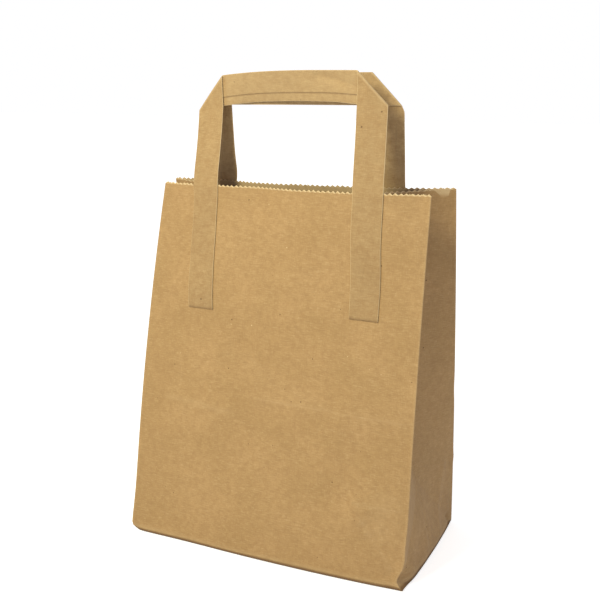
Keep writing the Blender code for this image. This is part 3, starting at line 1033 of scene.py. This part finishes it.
# The strip handles
@dataclass(frozen=True)
class Slit:
    """The wrap's free edge on a strip's hidden face: a small step with a thin slit.

    Places are in widths from its middle, lifts in steps over the face, and marks are
    shares of its painted shade, a dark line along the slit. Lengths in mm.
    """

    middle: float = 5.0
    width: float = 0.4
    step: float = 0.14
    sink: float = 0.02
    clear: float = 0.3
    shade: float = 0.75
    places: tuple[float, ...] = (-2.0, -0.35, -0.05, 0.05, 0.35, 2.0)
    lifts: tuple[float, ...] = (0.0, -0.04, -0.22, -0.16, 1.0, 0.25)
    marks: tuple[float, ...] = (0.0, 0.6, 1.0, 1.0, 0.2, 0.0)


@dataclass
class StripHandle:
    """One flat strip of four plies, mitred at both upper corners. Lengths in mm.

    Pairs are (left, right). The skew is how far a leg's glued end lies to the right of
    its place at the mouth, and the free length runs from the mouth to the bar's foot.
    Each reach is the length over which its own effect eases in.
    """

    bag: StandingBag
    name: str
    node: str
    slot: str
    side: Side
    skew: Pair
    free: Pair
    bar_y: Pair
    arch: float
    arch_skew: float
    seed: int
    lean_mouth: Pair
    lean_bar: Pair
    lean_reach: float = 10.0
    swell: float = 0.0
    swell_reach: float = 4.0
    tilt: float = 0.0
    tilt_reach: float = 30.0
    tilt_margin: float = 7.0
    turn: float = 0.0
    turn_reach: float = 15.0
    splay: float = 0.35
    slit: Slit = Slit()
    creases: tuple[Crease, ...] = ()
    width: float = 17.9
    thickness: float = 0.52
    margin: float = 26.2
    glued: Pair = (73.0, 68.4)
    leg_free: float = 47.0
    glue_gap: float = 0.2
    mitre_gap: float = 0.3
    mitre_steps: int = 12
    cell: float = 1.6
    columns: int = 18
    edge_steps: int = 5
    wave: float = 0.22
    wave_length: float = 34.0
    wave_count: int = 4
    worn_edge: float = 0.8
    edge_share: float = 0.9
    bar_highlight: float = 0.0
    bar_highlight_reach: float = 2.0
    mitre_wear_and_highlight: float = 0.4
    mitre_wear_and_highlight_width: float = 0.8
    end_shade: float = 0.5
    glue_shade: float = 0.13
    glue_reach: float = 8.0
    sharp_angle: float = 60.0

    @property
    def outer(self) -> float:
        """Distance of a leg's outer edge from the middle of the bag."""
        return self.bag.width / 2 - self.margin

    @property
    def bar(self) -> float:
        """Height along the sheet of the bar's lower edge."""
        return self.bag.height + self.leg_free

    @property
    def radius(self) -> float:
        """Radius of the mitre's fold, to the strip's middle."""
        return (self.thickness + self.mitre_gap) / 2

    def section(self) -> tuple[np.ndarray, np.ndarray, np.ndarray]:
        """Cross-section of the folded strip, once round.

        Formula: two flat faces joined by half circles of half the thickness. The
        slit's own places stand in for the hidden face's even ones near it.

        Returns:
            Place across the strip in mm, lift over its middle in mm and slit mark.
        """
        slit, edge = self.slit, self.thickness / 2
        arc = np.linspace(0, math.pi, self.edge_steps + 2)[1:-1]
        face = np.linspace(edge, self.width - edge, self.columns)
        marked = np.array(slit.places) * slit.width + slit.middle
        rest = face[np.abs(face - slit.middle) > slit.places[-1] * slit.width + slit.clear]
        hidden = np.sort(np.concatenate([rest, marked]))
        order = np.minimum(np.searchsorted(marked, hidden), len(marked) - 1)
        near = np.isin(hidden, marked)
        lift = edge + np.where(near, (np.array(slit.lifts) * slit.step)[order], 0.0)
        lift[near & (hidden <= slit.middle)] -= slit.sink
        mark = np.where(near, np.array(slit.marks)[order], 0.0)
        places = [edge - edge * np.sin(arc), face]
        places += [self.width - edge + edge * np.sin(arc), hidden[::-1]]
        lifts = [-edge * np.cos(arc), np.full(len(face), edge), edge * np.cos(arc), -lift[::-1]]
        marks = [np.zeros(len(arc) * 2 + len(face)), mark[::-1]]
        return np.concatenate(places), np.concatenate(lifts), np.concatenate(marks)

    def rows(self, glued: float) -> np.ndarray:
        """Flat rows of half a strip, from a leg's glued end to the middle of the bar.

        Formula: square rows up the leg, slanting to the mitre's 45 degrees, even steps
        through the fold, and back to square at the middle of the bar.

        Args:
            glued: length of the glued end, mm.

        Returns:
            Height along the sheet at both edges of the strip, one row each.
        """
        mouth, bar = self.bag.height, self.bar
        slant = np.array([0.0, self.width])
        quarter = math.pi * self.radius / math.sqrt(2)
        stops = [
            (np.full(2, mouth - glued), np.full(2, mouth), self.cell),
            (np.full(2, mouth), bar + slant - quarter, self.cell),
            (bar + slant - quarter, bar + slant + quarter, 2 * quarter / self.mitre_steps),
            (bar + slant + quarter, np.full(2, bar + self.outer), self.cell),
        ]
        rows = []
        for low, high, cell in stops:
            steps = max(1, math.ceil(float(np.max(np.abs(high - low))) / cell - TINY))
            share = np.arange(steps)[:, None] / steps
            rows.append(low + (high - low) * share)
        rows.append(stops[-1][1][None, :])
        return np.concatenate(rows)

    def place(self, x: np.ndarray, climb: np.ndarray, lift: np.ndarray) -> np.ndarray:
        """World place of a point of the flat handle.

        Formula: below the mouth it lies on the panel. Above it the point moves evenly
        to a line between the bar's two ends, with an arch of one less the square. The
        bar's lower edge tilts outwards between the legs, and its right end turns.

        Args:
            x: place along the bag's width, mm.
            climb: height along the sheet, mm.
            lift: height over the panel's middle surface, outwards, mm.

        Returns:
            Points in mm.
        """
        bag, mouth = self.bag, self.bag.height
        reach = self.outer - self.width / 2
        share = (x + reach) / (2 * reach)
        skew = (self.skew[0] + (self.skew[1] - self.skew[0]) * share) / self.glued[0]
        across = (x + skew * (mouth - np.minimum(climb, self.bar))) / bag.width + 0.5
        point = bag.panel(self.side, across, np.minimum(climb / mouth, 1))
        legs = np.array([-reach, reach]) / bag.width + 0.5
        foot = bag.panel(self.side, legs, np.ones(2))
        ends_y = np.array(self.bar_y)
        top = foot[:, 2] + np.sqrt(np.array(self.free) ** 2 - (ends_y - foot[:, 1]) ** 2)
        bar_y = ends_y[0] + (ends_y[1] - ends_y[0]) * share
        outward = np.clip(x / self.outer, -1, 1)
        bar_z = top[0] + (top[1] - top[0]) * share
        bar_z = bar_z + self.arch * (1 - outward ** 2) * (1 - self.arch_skew * outward)
        free = np.clip((climb - mouth) / self.leg_free, 0, 1)
        waves = Waves(self.seed, self.wave, self.wave_length, self.wave_count)
        wave = waves.relief(x, climb) * ease(free * 2)
        wave = wave + sum(mark.relief(x, climb) for mark in self.creases)
        above = np.maximum(climb - self.bar, 0)
        inner = self.outer - self.width
        inward = ease((inner + self.tilt_margin - np.abs(x)) / self.tilt_reach)
        bar_y = bar_y + self.turn * (x - reach) * ease((x - inner + self.turn_reach) / self.turn_reach)
        hang = np.clip(self.width - above, 0, self.width) * inward * free
        wave = wave - hang * math.sin(math.radians(self.tilt))
        point[..., 0] += self.sway(x, climb, share, free)
        point[..., 1] += (bar_y - point[..., 1]) * free + self.side.value * (lift + wave)
        point[..., 2] += (bar_z - point[..., 2]) * free + above
        point[..., 2] += hang * (1 - math.cos(math.radians(self.tilt)))
        return point

    def sway(self, x: np.ndarray, climb: np.ndarray, share: np.ndarray, free: np.ndarray) -> np.ndarray:
        """How far the paper leans to the right of its flat place.

        Formula: each leg's lean at the mouth, eased in over its reach each way, dies away
        as the square of what is left up to the bar, where its other lean takes over.
        The right leg also swells just under its mitre.

        Args:
            x: place along the bag's width, mm.
            climb: height along the sheet, mm.
            share: 0 at the left leg and 1 at the right one.
            free: 0 at the mouth and 1 at the bar.

        Returns:
            The lean in mm.
        """
        mouth = self.lean_mouth[0] + (self.lean_mouth[1] - self.lean_mouth[0]) * share
        bar = self.lean_bar[0] + (self.lean_bar[1] - self.lean_bar[0]) * share
        above = ease((climb - self.bag.height + self.lean_reach) / (2 * self.lean_reach))
        lean = mouth * above * (1 - free) ** 2 + bar * free
        corner = self.bar + np.clip(self.outer - x, 0, self.width)
        under = ease((corner - climb) / self.swell_reach) * free
        return lean + self.swell * under * ease(x / self.width)

    def half(self, end: End) -> tuple[np.ndarray, np.ndarray, np.ndarray]:
        """Half a handle: leg, mitre and half the bar.

        Formula of the mitre: before its line the strip lies flat, on the line it turns
        through half a circle, and past it the strip lies on its own back.

        Args:
            end: which half.

        Returns:
            Points of shape rows, section, 3, the seam mark of each section point, and
            the mitre fold's pale mark, rubbed wear and painted highlight, for each point.
        """
        places, lifts, seam = self.section()
        rows = self.rows(end.of(self.glued))
        share = places / self.width
        climb = rows[:, :1] + (rows[:, 1:] - rows[:, :1]) * share[None, :]
        x = np.broadcast_to(self.outer - places, climb.shape)
        line = self.bar + self.outer - x
        beyond = (climb - line) / math.sqrt(2)
        quarter = math.pi * self.radius / 2
        arc = np.clip(beyond + quarter, 0, 2 * quarter)
        past = np.maximum(beyond - quarter, 0)
        place = self.radius * np.sin(arc / self.radius) - quarter
        place = place + np.minimum(beyond + quarter, 0) - past
        slope = arc / self.radius
        shift = (place - beyond + lifts * np.sin(slope)) / math.sqrt(2)
        height = self.radius * (1 - np.cos(slope)) + self.splay * ease(past / self.width)
        lift = lifts * np.cos(slope) - height
        lift = lift + self.thickness / 2 + self.glue_gap + self.bag.ply / 2
        rubbed_and_lit = self.mitre_wear_and_highlight * bell(beyond, self.mitre_wear_and_highlight_width)
        return self.place(end.value * (x + shift), climb + shift, lift), seam, rubbed_and_lit

    def skin(self) -> Skin:
        """The whole strip as one closed skin with capped ends.

        Returns:
            The strip's skin.
        """
        left, seam, left_rubbed_and_lit = self.half(End.LEFT)
        right, _, right_rubbed_and_lit = self.half(End.RIGHT)
        rings = np.concatenate([left, right[-2::-1]])
        rubbed_and_lit = np.concatenate([left_rubbed_and_lit, right_rubbed_and_lit[-2::-1]])
        rows, columns = rings.shape[:2]
        start, finish = rows * columns, rows * columns + 1
        base = start - columns
        number = np.arange(columns)
        after = np.roll(number, -1)
        triangles = np.concatenate([
            grid_triangles(rows, columns, True, np.ones(columns, bool)),
            np.stack([after, number, np.full(columns, start)], -1),
            np.stack([number + base, after + base, np.full(columns, finish)], -1),
        ])
        if self.side is Side.BACK:
            triangles = triangles[:, ::-1]
        points = np.concatenate([rings.reshape(-1, 3), rings[[0, -1]].mean(axis=1)])
        return Skin(points, triangles, self.marks(rings, seam, rubbed_and_lit))

    def marks(self, rings: np.ndarray, seam: np.ndarray, rubbed_and_lit: np.ndarray) -> dict[str, np.ndarray]:
        """Rubbed edges, painted highlights, painted shade and the glued legs' tone of the strip.

        Args:
            rings: points of the strip, rows by section.
            seam: the slit's mark of each section point.
            rubbed_and_lit: the mitre fold's pale mark, rubbed wear and painted highlight, for each point.

        Returns:
            The two marks, with the middles of the two end caps last.
        """
        _, lifts, _ = self.section()
        edge = np.abs(lifts) < self.edge_share * self.thickness / 2
        climb = rings[..., 2] - self.bag.height
        # Painted highlight: the bar between the legs is made paler, as where it faces the light.
        on_bar = ease((self.outer - self.width - np.abs(rings[..., 0])) / self.bar_highlight_reach)
        on_bar = on_bar * ease((climb - self.leg_free / 2) / self.bar_highlight_reach)
        pale = np.maximum(np.where(edge, self.worn_edge, 0.0), self.bar_highlight * on_bar)
        # The mitre's fold is made paler: rubbed wear and painted highlight.
        pale = np.maximum(pale, rubbed_and_lit)
        # Painted shade along the wrap's slit; below the mouth the glued legs take their own darker tone.
        dark = np.maximum(self.slit.shade * seam, ease(-climb / self.glue_reach) * self.glue_shade)
        # Painted shade: the strip's cut ends and their caps are darkened.
        dark[[0, -1]] = self.end_shade
        return {
            "pale": np.concatenate([pale.ravel(), np.zeros(2)]),
            "dark": np.concatenate([dark.ravel(), np.full(2, self.end_shade)]),
        }

    def build(self, paper: bpy.types.Material) -> bpy.types.Object:
        """Make the strip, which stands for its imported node.

        Args:
            paper: the strip's finish.

        Returns:
            The strip's object.
        """
        strip = self.skin().make(self.name, [paper], self.sharp_angle)
        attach(strip, BODY)
        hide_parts(self.node)
        return strip


# Paper and its shader nodes
def linear(code: str) -> Colour:
    """Linear colour of an sRGB hex code.

    Args:
        code: six hex digits.

    Returns:
        Red, green, blue and alpha, linear.
    """
    levels = [int(code[i:i + 2], 16) / 255 for i in (0, 2, 4)]
    tones = [v / 12.92 if v <= 0.04045 else ((v + 0.055) / 1.055) ** 2.4 for v in levels]
    return (*tones, 1.0)


def add_node(shaded: Shaded, kind: str, inputs: dict | None = None, **settings: object) -> bpy.types.Node:
    """Add a shader node with its settings, values and links.

    Args:
        shaded: the material or world that gets the node.
        kind: Blender's name of the node type.
        inputs: a value or an output socket for each input, by name or number.
        settings: attributes of the node.

    Returns:
        The new node.
    """
    node = shaded.node_tree.nodes.new(kind)
    for key, value in settings.items():
        setattr(node, key, value)
    for key, value in (inputs or {}).items():
        if isinstance(value, Socket):
            shaded.node_tree.links.new(value, node.inputs[key])
        else:
            node.inputs[key].default_value = value
    return node


def tinted(paper: Shaded, colour: Socket | Colour, tone: str, pattern: Socket, levels: Span) -> Socket:
    """Lay a tone over a colour where a pattern has it.

    Args:
        paper: the material.
        colour: the colour under the tone.
        tone: hex colour.
        pattern: the pattern's value.
        levels: the pattern's low and high level, and the tone's share at each.

    Returns:
        The new colour.
    """
    share = add_node(paper, "ShaderNodeMapRange", dict(enumerate((pattern, *levels)))).outputs[0]
    inputs = {0: share, 6: colour, 7: linear(tone)}
    return add_node(paper, "ShaderNodeMix", inputs, data_type="RGBA").outputs[2]


@dataclass(frozen=True)
class Spots:
    """Small spots in the paper, at most one to a cell. Lengths in mm.

    The size is the largest spot's radius, the rarity is the share of the cells that
    stay empty, and the cover is how much a spot hides of the colour under it.
    """

    spacing: float
    size: float
    rarity: float
    cover: float
    soft_rim: float = 0.25

    def scatter(self, paper: bpy.types.Material, place: Socket, colour: Socket, tone: str) -> Socket:
        """Scatter the spots over a colour.

        Args:
            paper: the material.
            place: object coordinates.
            colour: the colour under the spots.
            tone: hex colour of the spots.

        Returns:
            The spotted colour.
        """
        largest = self.size / self.spacing
        inputs = {"Vector": place, "Scale": 1 / (self.spacing * MM)}
        cells = add_node(paper, "ShaderNodeTexVoronoi", inputs)
        drawn = add_node(paper, "ShaderNodeSeparateColor", {0: cells.outputs["Color"]}).outputs[0]
        inputs = dict(enumerate((drawn, self.rarity, 1.0, 0.0, largest)))
        radius = add_node(paper, "ShaderNodeMapRange", inputs).outputs[0]
        inputs = {0: radius, 1: cells.outputs["Distance"]}
        inside = add_node(paper, "ShaderNodeMath", inputs, operation="SUBTRACT").outputs[0]
        return tinted(paper, colour, tone, inside, (0.0, self.soft_rim * largest, 0.0, self.cover))


@dataclass(frozen=True)
class KraftPaper:
    """Unbleached kraft paper, 90 g per square metre, machine finished.

    Long brown wood fibres lie in all directions but mostly up the sheet. They give
    the eye a warm tan with fine streaks, a soft cloudiness, a few dark bark specks
    and pale bits of fibre. Pattern lengths are in mm, and each span brings a
    pattern's low and high level to two shares of a tone. Real fibres are about
    0.03 mm wide, too fine to show, so they are drawn fifteen times as wide.
    """

    name: str
    tan: str = "9f7e52"
    shade: str = "957349"
    light: str = "a78559"
    bark_and_shade: str = "5d4022"
    straw: str = "e6cfa4"
    cut_edge_and_highlight: str = "dcc39a"
    cloud: float = 30.0
    floc: float = 3.6
    fibre_length: float = 3.2
    fibre_width: float = 0.45
    upright_share: float = 0.35
    grain: float = 0.8
    soft_detail: float = 3.0
    fine_detail: float = 2.0
    cloud_span: Span = (0.35, 0.65, 0.0, 1.0)
    floc_span: Span = (0.38, 0.66, 0.0, 0.5)
    dark_fibres: Span = (0.36, 0.50, 0.13, 0.0)
    pale_fibres: Span = (0.52, 0.68, 0.0, 0.13)
    dark_grain: Span = (0.34, 0.50, 0.08, 0.0)
    specks: Spots = Spots(5.5, 0.60, 0.58, 0.8)
    flecks: Spots = Spots(7.0, 0.50, 0.80, 0.4)
    roughness: Span = (0.3, 0.7, 0.66, 0.80)
    ior: float = 1.47
    bump_fibres: float = 0.5
    bump_strength: float = 0.55
    bump_height: float = 0.06

    def build(self) -> bpy.types.Material:
        """Make the material from object coordinates in metres.

        Returns:
            The finished material.
        """
        paper = bpy.data.materials.new(self.name)
        paper.use_nodes = True
        shader = paper.node_tree.nodes["Principled BSDF"]
        place = add_node(paper, "ShaderNodeTexCoord").outputs["Object"]
        thin = self.fibre_width / self.fibre_length
        patterns = {
            "upright": (self.fibre_length, self.fine_detail, (thin, thin, 1.0)),
            "level": (self.fibre_length, self.fine_detail, (1.0, 1.0, thin)),
            "grain": (self.grain, self.fine_detail, (1.0, 1.0, 1.0)),
            "floc": (self.floc, self.soft_detail, (1.0, 1.0, 1.0)),
            "cloud": (self.cloud, self.soft_detail, (1.0, 1.0, 1.0)),
        }
        noise = {}
        for name, (length, detail, stretch) in patterns.items():
            scale = tuple(1 / MM / (length * share) for share in stretch)
            scaled = add_node(paper, "ShaderNodeMapping", {"Vector": place, "Scale": scale})
            inputs = {"Vector": scaled.outputs[0], "Scale": 1.0, "Detail": detail}
            noise[name] = add_node(paper, "ShaderNodeTexNoise", inputs).outputs["Fac"]
        inputs = {0: self.upright_share, 2: noise["level"], 3: noise["upright"]}
        fibres = add_node(paper, "ShaderNodeMix", inputs, data_type="FLOAT").outputs[0]

        colour = linear(self.tan)
        layers = (
            (self.light, noise["cloud"], self.cloud_span),
            (self.shade, noise["floc"], self.floc_span),
            (self.bark_and_shade, fibres, self.dark_fibres),
            (self.straw, fibres, self.pale_fibres),
            (self.bark_and_shade, noise["grain"], self.dark_grain),
        )
        for tone, pattern, levels in layers:
            colour = tinted(paper, colour, tone, pattern, levels)
        colour = self.specks.scatter(paper, place, colour, self.bark_and_shade)
        colour = self.flecks.scatter(paper, place, colour, self.straw)
        # The pale mark mixes in the cut edge's tone and the dark mark the bark's tone; they carry cut
        # edges, wear and glue, and also painted highlights and painted shade.
        for mark, tone in (("pale", self.cut_edge_and_highlight), ("dark", self.bark_and_shade)):
            share = add_node(paper, "ShaderNodeAttribute", attribute_name=mark).outputs["Fac"]
            inputs = {0: share, 6: colour, 7: linear(tone)}
            colour = add_node(paper, "ShaderNodeMix", inputs, data_type="RGBA").outputs[2]
        paper.node_tree.links.new(colour, shader.inputs["Base Color"])

        shader.inputs["Metallic"].default_value = 0.0
        shader.inputs["IOR"].default_value = self.ior
        inputs = dict(enumerate((fibres, *self.roughness)))
        rough = add_node(paper, "ShaderNodeMapRange", inputs).outputs[0]
        paper.node_tree.links.new(rough, shader.inputs["Roughness"])
        inputs = {0: fibres, 1: self.bump_fibres, 2: noise["floc"]}
        heights = add_node(paper, "ShaderNodeMath", inputs, operation="MULTIPLY_ADD").outputs[0]
        inputs = {"Height": heights, "Strength": self.bump_strength, "Distance": self.bump_height * MM}
        bump = add_node(paper, "ShaderNodeBump", inputs)
        paper.node_tree.links.new(bump.outputs[0], shader.inputs["Normal"])
        return paper


# Lamps, floor and camera
@dataclass(frozen=True)
class Lamp:
    """A soft square lamp: where it stands, in metres and degrees, and how bright it is."""

    name: str
    azimuth: float
    elevation: float
    distance: float
    size: float
    watts: float
    tint: Triple

    def build(self, aim: Vector) -> None:
        """Hang the lamp and point it at the object.

        Args:
            aim: the point that it lights.
        """
        light = bpy.data.lights.new(self.name, "AREA")
        light.shape = "SQUARE"
        light.size = self.size
        light.energy = self.watts
        light.color = self.tint
        turn, lift = math.radians(self.azimuth), math.radians(self.elevation)
        away = Vector((math.sin(turn) * math.cos(lift), -math.cos(turn) * math.cos(lift), math.sin(lift)))
        lamp = bpy.data.objects.new(self.name, light)
        lamp.location = aim + away * self.distance
        lamp.rotation_mode = "QUATERNION"
        lamp.rotation_quaternion = (-away).to_track_quat("-Z", "Y")
        bpy.context.scene.collection.objects.link(lamp)


@dataclass(frozen=True)
class Studio:
    """White paper sweep, soft lamps and the camera. Lengths in metres.

    The camera's focal length is in pixels of a picture 600 pixels wide. The sky and
    the floor's glow show white to the camera, and light the bag less than they show.
    """

    picture: float = 600.0
    focal_pixels: float = 912.93
    sensor: float = 36.0
    eye: Triple = (0.22995, -0.48313, 0.27466)
    yaw: float = 0.4376
    pitch: float = 0.23365
    roll: float = 0.0030
    clip: Pair = (0.01, 100.0)
    floor_size: float = 12.0
    floor_drop: float = 0.0003
    floor_tone: str = "f2f2f2"
    floor_roughness: float = 0.9
    sky: Triple = (1.0, 1.0, 1.05)
    sky_strength: float = 0.5
    glow_tone: str = "ffffff"
    floor_glow: Pair = (0.6, 0.75)
    glow_reach: Pair = (0.2, 0.9)
    glow_lights: float = 0.38
    lamps: tuple[Lamp, ...] = (
        Lamp("key_lamp", -18.0, 38.0, 0.8, 0.24, 5.5, (1.0, 0.98, 0.70)),
        Lamp("side_lamp", 101.0, 30.0, 0.9, 0.30, 0.76, (1.0, 1.0, 0.95)),
    )

    def camera(self) -> None:
        """Place the camera from its yaw, pitch and roll."""
        data = bpy.data.cameras.new("camera")
        data.sensor_fit = "HORIZONTAL"
        data.sensor_width = self.sensor
        data.lens = self.focal_pixels / self.picture * self.sensor
        data.clip_start, data.clip_end = self.clip
        ahead = Vector((
            -math.sin(self.yaw) * math.cos(self.pitch),
            math.cos(self.yaw) * math.cos(self.pitch),
            -math.sin(self.pitch),
        ))
        right = Vector((math.cos(self.yaw), math.sin(self.yaw), 0.0))
        up = right.cross(ahead)
        leaned = math.cos(self.roll) * right + math.sin(self.roll) * up
        crown = math.cos(self.roll) * up - math.sin(self.roll) * right
        turn = Matrix((leaned, crown, -ahead)).transposed().to_4x4()
        camera = bpy.data.objects.new("camera", data)
        camera.matrix_world = Matrix.Translation(self.eye) @ turn
        bpy.context.scene.collection.objects.link(camera)
        bpy.context.scene.camera = camera

    def floor(self) -> None:
        """Lay the pale floor just under the bag, with a glow that grows away from it."""
        half = self.floor_size / 2
        corners = [(-half, -half), (half, -half), (half, half), (-half, half)]
        mesh = bpy.data.meshes.new("studio_floor")
        mesh.from_pydata([(x, y, -self.floor_drop) for x, y in corners], [], [(0, 1, 2, 3)])
        white = bpy.data.materials.new("white_paper_sweep")
        white.use_nodes = True
        shader = white.node_tree.nodes["Principled BSDF"]
        shader.inputs["Base Color"].default_value = linear(self.floor_tone)
        shader.inputs["Roughness"].default_value = self.floor_roughness
        shader.inputs["Emission Color"].default_value = linear(self.glow_tone)
        place = add_node(white, "ShaderNodeTexCoord").outputs["Object"]
        away = add_node(white, "ShaderNodeVectorMath", {0: place}, operation="LENGTH").outputs["Value"]
        inputs = dict(enumerate((away, *self.glow_reach, *self.floor_glow)))
        glow = add_node(white, "ShaderNodeMapRange", inputs).outputs[0]
        inputs = {0: glow, 1: self.shown(white, self.glow_lights)}
        lit = add_node(white, "ShaderNodeMath", inputs, operation="MULTIPLY").outputs[0]
        white.node_tree.links.new(lit, shader.inputs["Emission Strength"])
        mesh.materials.append(white)
        floor = bpy.data.objects.new("studio_floor", mesh)
        bpy.context.scene.collection.objects.link(floor)

    def shown(self, shaded: Shaded, lights: float) -> Socket:
        """Strength of a glow: full for rays from the camera, less for those that light the bag.

        Args:
            shaded: the material or world that glows.
            lights: the strength for rays that light the bag.

        Returns:
            The strength for each ray.
        """
        seen = add_node(shaded, "ShaderNodeLightPath").outputs["Is Camera Ray"]
        inputs = dict(enumerate((seen, 0.0, 1.0, lights, 1.0)))
        return add_node(shaded, "ShaderNodeMapRange", inputs).outputs[0]

    def build(self) -> None:
        """Set the camera, floor, sky and lamps."""
        self.camera()
        self.floor()
        world = bpy.data.worlds.new("white_studio")
        world.use_nodes = True
        background = world.node_tree.nodes["Background"]
        background.inputs["Color"].default_value = (*self.sky, 1.0)
        strength = self.shown(world, self.sky_strength)
        world.node_tree.links.new(strength, background.inputs["Strength"])
        bpy.context.scene.world = world
        bpy.context.scene.view_settings.view_transform = "Standard"
        low, high = CAD_BOX
        for lamp in self.lamps:
            lamp.build((low + high) / 2)


def strip_handles() -> tuple[StripHandle, StripHandle]:
    """The front and the back handle as they stand in the picture.

    Returns:
        The front one and the back one.
    """
    front = StripHandle(
        BAG,
        name="front_strip",
        node="front_handle",
        slot="kraft_front_strip",
        side=Side.FRONT,
        skew=(3.4, 1.8),
        free=(46.4, 47.0),
        bar_y=(2.0, -17.8),
        arch=2.6,
        arch_skew=0.5,
        seed=31,
        lean_mouth=(-1.1, -0.4),
        lean_bar=(-1.15, -0.4),
        tilt=18.0,
        turn=0.18,
        bar_highlight=0.11,
        creases=(Crease((20.0, 280.0), (47.0, 274.0), -1.5, (6.0, 2.5), 0.6, 5.0),),
    )
    back = StripHandle(
        BAG,
        name="back_strip",
        node="back_handle",
        slot="kraft_back_strip",
        side=Side.BACK,
        skew=(2.0, 0.3),
        free=(45.9, 46.6),
        bar_y=(8.5, -0.3),
        arch=0.2,
        arch_skew=0.0,
        seed=37,
        lean_mouth=(2.9, 0.0),
        lean_bar=(-0.2, 0.0),
        swell=1.3,
        splay=1.3,
        slit=Slit(step=0.02, shade=0.1),
    )
    return front, back


def main() -> None:
    """Build the bag, its handles and the studio, and report each piece."""
    logging.basicConfig(level=logging.INFO, format="%(name)s: %(message)s")
    sheet = KraftPaper("kraft_paper_machine_finished").build()
    front = KraftPaper("kraft_paper_front_strip", tan="a08259", light="a8895e").build()
    # Painted light: the back strip is a lighter copy of the front strip's paper, so that its shaded legs
    # read brighter.
    back = KraftPaper("kraft_paper_back_strip_lightened", tan="b09268", light="b8996d").build()
    pieces = [FoldedSheet(BAG).build(sheet), *BlockBottom(BAG).build(sheet)]
    pieces += [handle.build(strip) for handle, strip in zip(strip_handles(), (front, back))]
    for piece in pieces:
        LOG.info("%s: %d triangles", piece.name, len(piece.data.polygons))
    Studio().build()


if __name__ == "__main__":
    main()
